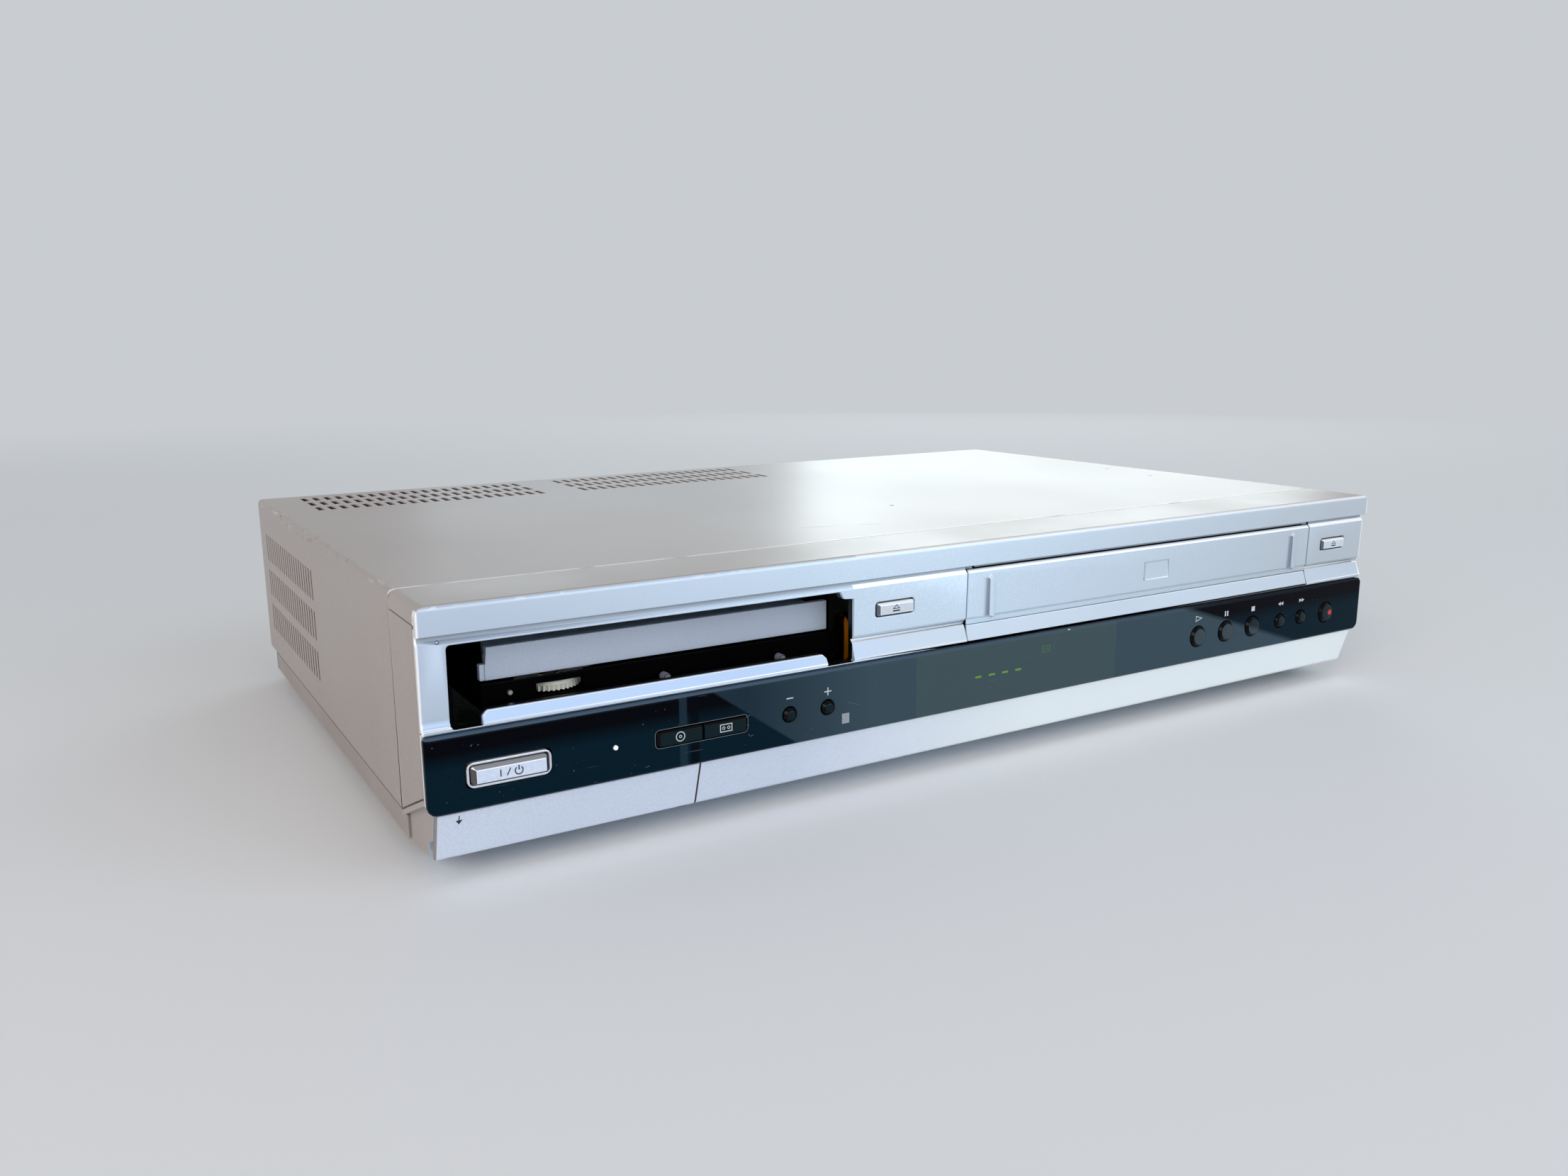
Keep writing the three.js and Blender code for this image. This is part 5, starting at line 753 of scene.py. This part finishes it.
# A line of even width along points, as one four-cornered polygon for each stretch, mitred where they meet
def stroke(points, width, closed=False):
    across = []
    for (xa, za), (xb, zb) in neighbours(points, closed):
        length = math.hypot(xb - xa, zb - za)
        across.append(((za - zb) / length, (xb - xa) / length))
    sides = []
    for index, (x, z) in enumerate(points):
        before = across[index - 1] if closed or index > 0 else across[0]
        after = across[index] if index < len(across) else across[-1]
        share = width / 2 / (1 + before[0] * after[0] + before[1] * after[1])
        dx, dz = (before[0] + after[0]) * share, (before[1] + after[1]) * share
        sides.append(((x + dx, z + dz), (x - dx, z - dz)))
    return [[left, right, nextRight, nextLeft] for (left, right), (nextLeft, nextRight) in neighbours(sides, closed)]


def bar(x, z, wide, high):
    return [(x + dx * wide / 2, z + dz * high / 2) for dx, dz in ((-1, -1), (1, -1), (1, 1), (-1, 1))]


def triangle(x, z, wide, high):
    return [(x - wide / 2, z - high / 2), (x + wide / 2, z), (x - wide / 2, z + high / 2)]


def plus(x, z, wide, line):
    a, b = wide / 2, line / 2
    return [(x + dx, z + dz) for dx, dz in ((-a, -b), (-b, -b), (-b, -a), (b, -a), (b, -b), (a, -b), (a, b), (b, b),
                                            (b, a), (-b, a), (-b, b), (-a, b))]


# lift gives a point's place on the face and the way out of the face
def printMarks(name, polygons, lift, finish, body, proud=0.03, root=0.08):
    bm = bmesh.new()
    corners = {}
    sides = {}
    for polygon in polygons:
        keys = [(round(a, 4), round(b, 4)) for a, b in polygon]
        for key in keys:
            if key not in corners:
                place, way = lift(*key)
                corners[key] = (bm.verts.new((place + way * proud) * mm), bm.verts.new((place - way * root) * mm))
        bm.faces.new([corners[key][0] for key in keys])
        bm.faces.new([corners[key][1] for key in reversed(keys)])
        for pair in neighbours(keys):
            sides.setdefault(frozenset(pair), []).append(pair)
    for pairs in sides.values():
        if len(pairs) == 1:
            near, far = corners[pairs[0][0]], corners[pairs[0][1]]
            bm.faces.new((near[1], far[1], far[0], near[0]))
    bmesh.ops.recalc_face_normals(bm, faces=bm.faces)
    return finishPiece(meshObject(name, bm), body, finish)


def onFront(y):
    return lambda x, z: (Vector((x, y, z)), Vector((0, -1, 0)))


# On the flap, which slopes back towards its foot
flapSlope = {"y": 1.52, "z": 23.2, "fall": 4.52 / 14.58, "way": (0, -0.956, -0.295)}


def onSlope(x, z):
    depth = flapSlope["y"] + (flapSlope["z"] - z) * flapSlope["fall"]
    return Vector((x, frontY + depth, z)), Vector(flapSlope["way"])


coverTop = 86


def onTop(x, y):
    return Vector((x, y + frontY, coverTop)), Vector((0, 0, 1))


marks = {
    "symbolZ": 42.3, "channelZ": 40.3, "line": 0.42, "power": (-190.8, keyZ - 0.45), "square": (-71.0, 29.5, 3.0, 3.6),
    "indicator": (21.0, 41.3, 0.95), "redDot": (191.4, keyZ, 1.15, 0, 345, 23), "arrow": (-205.6, 20.7),
    "rim": (-143.15, -109.65, keyZ - 3.05, keyZ + 3.05), "rimCorner": 1.6, "rimLine": 0.17,
}


def circle(x, z, radius, line, count):
    return stroke(roundOutline(x, z, radius, count), line, closed=True)


def powerMarks(x, z):
    ringX = x + 2.8
    return (stroke([(x - 2.75, z - 1.1), (x - 2.75, z + 1.1)], 0.36)
            + stroke([(x - 0.85, z - 1.1), (x + 0.25, z + 1.1)], 0.34)
            + stroke(arc(ringX, z - 0.15, 1.2, 126, 414), 0.36)
            + stroke([(ringX, z), (ringX, z + 1.45)], 0.4))


def discMarks(x, z):
    return circle(x, z, 1.5, 0.3, 32) + circle(x, z, 0.42, 0.22, 16)


def cassetteMarks(x, z, share=1.0):
    wide, high = 4.2 * share, 2.4 * share
    return (stroke(bar(x, z, wide, high), 0.3 * share, closed=True)
            + circle(x - wide * 0.22, z, 0.45 * share, 0.22 * share, 12)
            + circle(x + wide * 0.22, z, 0.45 * share, 0.22 * share, 12))


def channelMarks(z, line):
    down, up = roundKeys["channel_down_button"][0], roundKeys["channel_up_button"][0]
    return [bar(down, z, 2.6, line), plus(up, z, 2.8, line)]


def transportMarks(z):
    play, pause, stop, rewind, forward = [roundKeys[node + "_button"][0] for node in (
        "play", "pause", "stop", "rewind", "forward")]
    onward = [triangle(forward + shift, z, 1.7, 1.7) for shift in (-0.85, 0.85)]
    backward = [triangle(rewind - shift, z, -1.7, 1.7) for shift in (-0.85, 0.85)]
    return (stroke(triangle(play, z, 3.4, 2.2), 0.3, closed=True)
            + [bar(pause - 0.7, z, 0.75, 2.2), bar(pause + 0.7, z, 0.75, 2.2), bar(stop, z, 2.1, 2.1)]
            + backward + onward)


def ejectMarks(x, z):
    return (stroke([(x - 1.3, z - 0.15), (x + 1.3, z - 0.15), (x, z + 1.1)], 0.26, closed=True)
            + [bar(x, z - 0.95, 3.0, 0.5)])


def arrowMarks(x, z):
    return stroke([(x, z + 1.5), (x, z - 0.2)], 0.32) + [[(x - 1.05, z), (x, z - 1.5), (x + 1.05, z)]]


# Name, polygons, finish, the piece that they are printed on, and how far they stand out of it and go in
prints = [
    ("power_symbols", powerMarks(*marks["power"]), "printDark", "power_button"),
    ("disc_symbol", discMarks(barKeys["select_button_left"]["x"], keyZ), "printLight", "select_button_left"),
    ("cassette_symbol", cassetteMarks(barKeys["select_button_right"]["x"], keyZ), "printLight", "select_button_right"),
    # A painted highlight: a thin light line round the select keys' hole
    ("select_rim", stroke(barOutline(*marks["rim"], [marks["rimCorner"]] * 4), marks["rimLine"], closed=True),
     "rimGrey", "control_panel"),
    ("channel_signs", channelMarks(marks["channelZ"], marks["line"]), "printLight", "control_panel"),
    ("transport_symbols", transportMarks(marks["symbolZ"]), "printLight", "control_panel"),
    ("small_square", [bar(*marks["square"])], "printGrey", "control_panel"),
    ("cassette_indicator", cassetteMarks(*marks["indicator"]), "glowDim", "control_panel"),
    ("record_dot", [arc(*marks["redDot"])], "printRed", "record_button", 0.05, 0.4),
    ("disc_eject_symbol", ejectMarks(barKeys["disc_eject_button"]["x"], ejectZ), "printDark", "disc_eject_button"),
    ("cassette_eject_symbol", ejectMarks(barKeys["cassette_eject_button"]["x"], ejectZ), "printDark",
     "cassette_eject_button"),
]
fronts = {"control_panel": panelY, "record_button": roundKey["front"]}
fronts.update({node: look["front"] for node, look in barKeys.items()})
for name, polygons, finish, node, *depths in prints:
    printMarks(name, polygons, onFront(fronts[node]), finish, bodyOf[node], *depths)
printMarks("flap_arrow", arrowMarks(*marks["arrow"]), onSlope, "printDark", bodyOf["av_flap"])
print("symbols printed")


# Rubbed places that the eye catches: scratches and specks on the cover, hair marks and a chip on the black panel

scuffs = {
    "specks": [(198.9, 144.8), (192.5, 108.1), (15.8, 92.6)],
    "speckShape": ((-1.2, 0.2), (-0.2, -0.9), (1.1, -0.3), (0.7, 0.9), (-0.4, 1.0)),
    "scratches": [[(-51, 62.9), (-43.5, 59.6), (-36.2, 57.9)], [(-26.6, 57.0), (-21.4, 53.6), (-16.9, 54.4)]],
    "scratchWidth": 0.45, "coverProud": 0.015,
    "hairs": [[(-110.6, 35.9), (-109.9, 36.8), (-108.7, 37.1)], [(-110.6, 34.2), (-109.3, 33.6)],
              [(-109.6, 30.6), (-108.8, 29.8), (-107.6, 30.1)], [(-70.4, 35.0), (-68.4, 34.6), (-65.6, 33.4)],
              [(-146.9, 26.3), (-145.3, 26.6)], [(-201.6, 43.4), (-201.2, 44.1)], [(-199.8, 43.4), (-199.2, 43.7)]],
    "hairWidth": 0.14, "hairProud": 0.012,
    "chip": (32.6, 47.3, 1.1, 0.35),
}


def strokes(lines, width):
    return [quad for line in lines for quad in stroke(line, width)]


printMarks("cover_scratches", strokes(scuffs["scratches"], scuffs["scratchWidth"]), onTop, "scuffPale", "cabinet",
           scuffs["coverProud"])
printMarks("cover_specks", [[(x + dx, y + dy) for dx, dy in scuffs["speckShape"]] for x, y in scuffs["specks"]],
           onTop, "scuffDark", "cabinet", scuffs["coverProud"])
printMarks("panel_hairs", strokes(scuffs["hairs"], scuffs["hairWidth"]), onFront(panelY), "scuffGloss", "cabinet",
           scuffs["hairProud"])
printMarks("panel_chip", [bar(*scuffs["chip"])], onFront(panelY), "scuffPale", "cabinet")
print("scuffs made")


# Geometry Nodes for what repeats

# Each input is a name, a kind of socket and a value at first, or none
def startTree(name, inputs, kinds):
    tree = bpy.data.node_groups.new(name, "GeometryNodeTree")
    for label, kind, *value in inputs:
        socket = tree.interface.new_socket(name=label, in_out="INPUT", socket_type="NodeSocket" + kind)
        if value:
            socket.default_value = value[0]
    tree.interface.new_socket(name="Geometry", in_out="OUTPUT", socket_type="NodeSocketGeometry")
    return tree, [tree.nodes.new(kind) for kind in ("NodeGroupInput",) + kinds]


def wire(tree, *wires):
    for source, output, target, socket in wires:
        tree.links.new(source.outputs[output], target.inputs[socket])


def endTree(tree, given, last, output):
    realize, paint, result = [tree.nodes.new(kind) for kind in (
        "GeometryNodeRealizeInstances", "GeometryNodeSetMaterial", "NodeGroupOutput")]
    wire(tree, (last, output, realize, "Geometry"), (realize, "Geometry", paint, "Geometry"),
         (given, "Material", paint, "Material"), (paint, "Geometry", result, "Geometry"))
    return tree


# A row of small plates, such as the dashes of a display
def makeDashTree():
    tree, (given, row, plate, along, spread) = startTree("dashRow", [
        ("Count", "Int", 4), ("Pitch", "Float", 0.006), ("Start", "Vector"), ("Size", "Vector"),
        ("Material", "Material")], (
        "GeometryNodeMeshLine", "GeometryNodeMeshCube", "ShaderNodeCombineXYZ", "GeometryNodeInstanceOnPoints"))
    wire(tree, (given, "Count", row, "Count"), (given, "Start", row, "Start Location"), (given, "Pitch", along, "X"),
         (along, "Vector", row, "Offset"), (given, "Size", plate, "Size"), (row, "Mesh", spread, "Points"),
         (plate, "Mesh", spread, "Instance"))
    return endTree(tree, given, spread, "Instances")


# One small shape at each point of a mesh, each turned a little about its own axis
def makeScatterTree():
    tree, (given, head, spread, chance, around, turn) = startTree("headsOnPoints", [
        ("Geometry", "Geometry"), ("Head", "Object"), ("Spin", "Float", 0.0), ("Seed", "Int", 5),
        ("Material", "Material")], (
        "GeometryNodeObjectInfo", "GeometryNodeInstanceOnPoints", "FunctionNodeRandomValue", "ShaderNodeCombineXYZ",
        "GeometryNodeRotateInstances"))
    turn.inputs["Local Space"].default_value = True
    wire(tree, (given, "Head", head, "Object"), (given, "Geometry", spread, "Points"),
         (head, "Geometry", spread, "Instance"), (given, "Spin", chance, 3), (given, "Seed", chance, "Seed"),
         (chance, 1, around, "Y"), (spread, "Instances", turn, "Instances"), (around, "Vector", turn, "Rotation"))
    return endTree(tree, given, turn, "Instances")


# A mesh of points becomes a row by a tree; the result is one mesh without a modifier
def growRow(name, tree, points, values, body, finish):
    bm = bmesh.new()
    for point in points:
        bm.verts.new(Vector(point) * mm)
    seedObject = meshObject(name + "_points", bm)
    modifier = seedObject.modifiers.new("row", "NODES")
    modifier.node_group = tree
    values = {**values, "Material": finishes[finish]}
    for item in tree.interface.items_tree:
        if item.in_out == "INPUT" and item.name in values:
            modifier[item.identifier] = values[item.name]
    view = bpy.context.evaluated_depsgraph_get()
    mesh = bpy.data.meshes.new_from_object(seedObject.evaluated_get(view), depsgraph=view)
    bpy.data.objects.remove(seedObject)
    obj = bpy.data.objects.new(name, mesh)
    scene.collection.objects.link(obj)
    shade(obj, plainAngle)
    return finishPiece(obj, body, finish)


dashes = {
    "Count": 4, "Pitch": 6.43 * mm, "Start": Vector((-12.1, panelY, 35.2)) * mm,
    "Size": Vector((2.9, 0.12, 0.75)) * mm,
}
growRow("display_dashes", makeDashTree(), [(0, 0, 0)], dashes, "cabinet", "glowGreen")
print("dashes made")


# Screws: a domed head with a cross in it, facing back or down; those at the back are each turned a little

screw = {
    "radius": 3.0, "height": 1.25, "crossArm": 1.55, "crossHalf": 0.36, "crossDepth": 0.8, "crossCorner": 1.42,
    "crossFoot": 0.8, "rings": ((0, 1), (0.35, 1), (0.8, 0.86), (1, 0.6)), "count": 48, "start": 3.75, "seed": 5,
}
rearFaceY = frontY + 272.3
rearScrews = [(-207, 80), (-70, 80), (60, 80), (207, 80), (-207, 11), (60, 11), (207, 11), (-88, 36), (-10, 36),
              (-196, 38)]
underScrews = [(-196, 20), (196, 20), (-196, 250), (196, 250), (0, 40), (0, 252), (-60, 150), (70, 150)]
screwRows = {
    "rear_screws": {"points": [(x, rearFaceY - 0.1, z) for x, z in rearScrews], "turn": 0, "spin": math.pi,
                    "finish": "steel_dark"},
    "under_screws": {"points": [(x, frontY + y, 5.1) for x, y in underScrews], "turn": -90, "spin": 0.0,
                     "finish": "steel"},
}


def crossOutline(look, share):
    points = []
    for step in range(look["count"]):
        angle = math.radians(look["start"] + 360 * step / look["count"])
        c, s = abs(math.cos(angle)), abs(math.sin(angle))
        arm = min(look["crossArm"] / max(c, s),
                  max(look["crossHalf"] / min(c, s), look["crossHalf"] * look["crossCorner"]))
        points.append((arm * share * math.cos(angle), arm * share * math.sin(angle)))
    return points


def makeScrews(look, rows, tree):
    height = look["height"]
    layers = [(height * rise, roundOutline(0, 0, look["radius"] * reach, look["count"], look["start"]))
              for rise, reach in look["rings"]]
    layers += [(height, crossOutline(look, 1)), (height - look["crossDepth"], crossOutline(look, look["crossFoot"]))]
    head = stackOutlines("screwHead", layers, {})
    head.modifiers.clear()
    for name, row in rows.items():
        turned = head.copy()
        turned.data = head.data.copy()
        turned.data.transform(Matrix.Rotation(math.radians(row["turn"]), 4, "X"))
        scene.collection.objects.link(turned)
        growRow(name, tree, row["points"], {"Head": turned, "Spin": row["spin"], "Seed": look["seed"]}, "cabinet",
                row["finish"])
        bpy.data.objects.remove(turned)
    bpy.data.objects.remove(head)


scatterTree = makeScatterTree()
makeScrews(screw, screwRows, scatterTree)
print("screws made")


# Coloured sleeves in the jacks, front and back

sleeve = {
    "outer": 4.0, "inner": 1.75, "proud": 0.3, "root": 1.2, "pitch": 15, "rearPitch": 17, "rearMargin": 9,
    "frontRise": 15.7, "count": 24, "seed": 1, "colors": ("yellow", "white", "red"),
}


def makeSleeves(look, tree):
    length, pitch = look["root"] + look["proud"], look["rearPitch"]
    layers = [(depth, roundOutline(0, 0, look[reach], look["count"])) for depth, reach in (
        (0, "outer"), (length, "outer"), (length, "inner"), (0, "inner"))]
    ring = stackOutlines("sleeveRing", layers, {}, hollow=True)
    ring.modifiers.clear()
    frontLow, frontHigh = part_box("front_jack_block")
    rearLow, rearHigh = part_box("rear_jack_block")
    middle = (frontLow.x + frontHigh.x) / 2 / mm
    frontPlace, rearPlace = frontLow.y / mm - look["proud"], rearHigh.y / mm - look["root"]
    left, top = rearLow.x / mm + look["rearMargin"], rearHigh.z / mm - look["rearMargin"]
    for index, color in enumerate(look["colors"]):
        column = left + index * pitch
        points = [(middle + (index - 1) * look["pitch"], frontPlace, look["frontRise"]), (column, rearPlace, top),
                  (column, rearPlace, top - pitch)]
        growRow(color + "_sleeves", tree, points, {"Head": ring, "Spin": 0.0, "Seed": look["seed"]}, "cabinet",
                "sleeve" + color.capitalize())
    bpy.data.objects.remove(ring)


makeSleeves(sleeve, scatterTree)
print("sleeves made")


# Small things seen in the disc opening: the gear's smooth rim, the pegs' worn tips, the tray's step, a screw, and a
# nub above it. Turned ones are rings, each with its way back from the front and its radius

opening = {"gear": (-169, 23.4), "rim": ((53.7, 10.55), (54.9, 10.55), (54.9, 8.8), (53.7, 8.8)), "rimCount": 96,
           "rimEdge": {1: 0.2}, "step": (-193.4, -191.1, 58.05, 63.1), "stepCorner": 0.3, "stepPlace": (16.4, 14.35),
           "stepEdge": {1: 0.15}}
pegRings = ((9.5, 1.4), (6.55, 1.4), (6.05, 0.98))
turnedPieces = {
    "peg_tip_1": {"place": (-135.05, 52.2), "rings": pegRings, "count": 32, "finish": "pegGrey"},
    "peg_tip_2": {"place": (-92.05, 52.2), "rings": pegRings, "count": 32, "finish": "pegGrey"},
    "loader_screw": {"place": (-185.6, 54.4), "rings": ((10.5, 0.95), (9.9, 0.7)), "count": 24, "finish": "steel"},
    "bezel_nub": {"place": (-208.6, 74.7), "rings": ((3.25, 0.42), (2.6, 0.42), (2.43, 0.32), (2.35, 0.14)),
                  "count": 24, "finish": "ring_light"},
}


def makeRim(look):
    x, y = look["gear"]
    layers = [(z, roundOutline(x, y + frontY, reach, look["rimCount"])) for z, reach in look["rim"]]
    rim = stackOutlines("gear_rim", layers, look["rimEdge"], hollow=True)
    rim.data.transform(Matrix(((1, 0, 0, 0), (0, 0, 1, 0), (0, 1, 0, 0), (0, 0, 0, 1))))
    rim.data.flip_normals()
    finishPiece(rim, bodyOf["tray_gear"], "ivory_plastic")


def makeTrayStep(look):
    outline = barOutline(*look["step"], [look["stepCorner"]] * 4)
    layers = [(frontY + depth, outline) for depth in look["stepPlace"]]
    finishPiece(stackOutlines("tray_step", layers, look["stepEdge"]), bodyOf["disc_tray"], "grey_plastic")


def makeTurned(name, look):
    x, z = look["place"]
    layers = [(frontY + depth, roundOutline(x, z, radius, look["count"])) for depth, radius in look["rings"]]
    finishPiece(stackOutlines(name, layers, {}), "cabinet", look["finish"])


makeRim(opening)
for name, look in turnedPieces.items():
    makeTurned(name, look)
makeTrayStep(opening)
print("opening dressed")


# The flap's front skin, which closes over its hinge lugs

flapSkin = {
    "x": (-212.0, -126.65), "edge": 0.12, "steps": 2,
    "section": ((1.5, 23.2), (6.02, 8.62), (6.5, 7.95), (6.75, 8.1), (6.33, 8.72), (1.9, 23.0)),
}


def makeFlapSkin(look):
    bm = bmesh.new()
    rings = [[bm.verts.new((x * mm, (y + frontY) * mm, z * mm)) for y, z in look["section"]] for x in look["x"]]
    ends = [bm.faces.new(ring) for ring in rings]
    bridge(bm, *rings)
    bmesh.ops.recalc_face_normals(bm, faces=bm.faces)
    breakEdges(bm, [line for face in ends for line in face.edges], look["edge"], look["steps"], clamp=True)
    return finishPiece(smooth(meshObject("flap_skin", bm)), bodyOf["av_flap"], "trim_silver")


makeFlapSkin(flapSkin)
print("flap dressed")


# Floor and light

studioLook = {
    "floor": (248, 249, 250), "floorRoughness": 0.9, "floorRadius": 40.0, "floorCorners": 96, "grain": (900, 2.0),
    "grainGains": (0.985, 1.015), "backdrop": (201, 205, 209), "fade": (0.55, 2.0), "sky": (238, 241, 245),
    "skyStrength": 0.42,
}
lampLooks = {
    "keyLamp": {"place": (-1.6, -1.1, 1.0), "size": 1.2, "power": 15, "color": (255, 246, 240)},
    "frontLamp": {"place": (0.85, -1.8, 0.45), "size": 2.3, "power": 27, "color": (228, 240, 255)},
    "windowLamp": {"place": (1.72, 1.68, 0.5), "size": 1.2, "power": 10, "color": (236, 252, 255)},
    "sideWindow": {"place": (0.95, 2.2, 0.5), "size": 1.1, "power": 2.0, "color": (214, 242, 255)},
}


def blendShaders(share, first, second, output):
    node = addNode("MixShader")
    for socket, value in zip(node.inputs, (share, first, second)):
        feed(value, socket)
    fill(bench["tree"].nodes[output], Surface=node.outputs["Shader"])


# Near the object the floor is paper that takes its shadow, and far off it fades into the backdrop
def makeFloorFinish(look):
    shader = startFinish("floorPaper", {"color": look["floor"], "roughness": look["floorRoughness"]})
    dark, light = look["grainGains"]
    fill(shader, Base_Color=mix(noise(*look["grain"]), rgba(look["floor"], dark), rgba(look["floor"], light)))
    x, y, z = addPlace()
    reach = addMath("SQRT", addMath("ADD", times(x, x), times(y, y)))
    backdrop = fill(addNode("Emission"), Color=look["backdrop"])
    blendShaders(ramp(reach, *look["fade"]), shader.outputs["BSDF"], backdrop["Emission"], "Material Output")
    return finishes["floorPaper"]


# The lamps' sky lights the object, while the camera and reflections see the plain backdrop
def makeSky(look):
    world = bpy.data.worlds.new("studio")
    world.use_nodes = True
    bench["tree"] = world.node_tree
    light = world.node_tree.nodes["Background"]
    fill(light, Color=look["sky"], Strength=look["skyStrength"])
    seen = fill(addNode("Background"), Color=look["backdrop"])
    path = addNode("LightPath").outputs
    looking = larger(larger(path["Is Camera Ray"], path["Is Glossy Ray"]), path["Is Transmission Ray"])
    blendShaders(looking, light.outputs["Background"], seen["Background"], "World Output")
    scene.world = world


def makeStudio(look, lamps):
    bm = bmesh.new()
    bmesh.ops.create_circle(bm, cap_ends=True, segments=look["floorCorners"], radius=look["floorRadius"])
    floor = meshObject("floor", bm)
    floor.data.materials.append(makeFloorFinish(look))
    makeSky(look)
    for name, lamp in lamps.items():
        light = bpy.data.lights.new(name, "AREA")
        light.size = lamp["size"]
        light.energy = lamp["power"]
        light.color = linear(lamp["color"])
        obj = bpy.data.objects.new(name, light)
        obj.location = lamp["place"]
        obj.rotation_euler = (-Vector(lamp["place"])).to_track_quat("-Z", "Y").to_euler()
        obj.visible_camera = False
        scene.collection.objects.link(obj)


makeStudio(studioLook, lampLooks)
print("studio made")
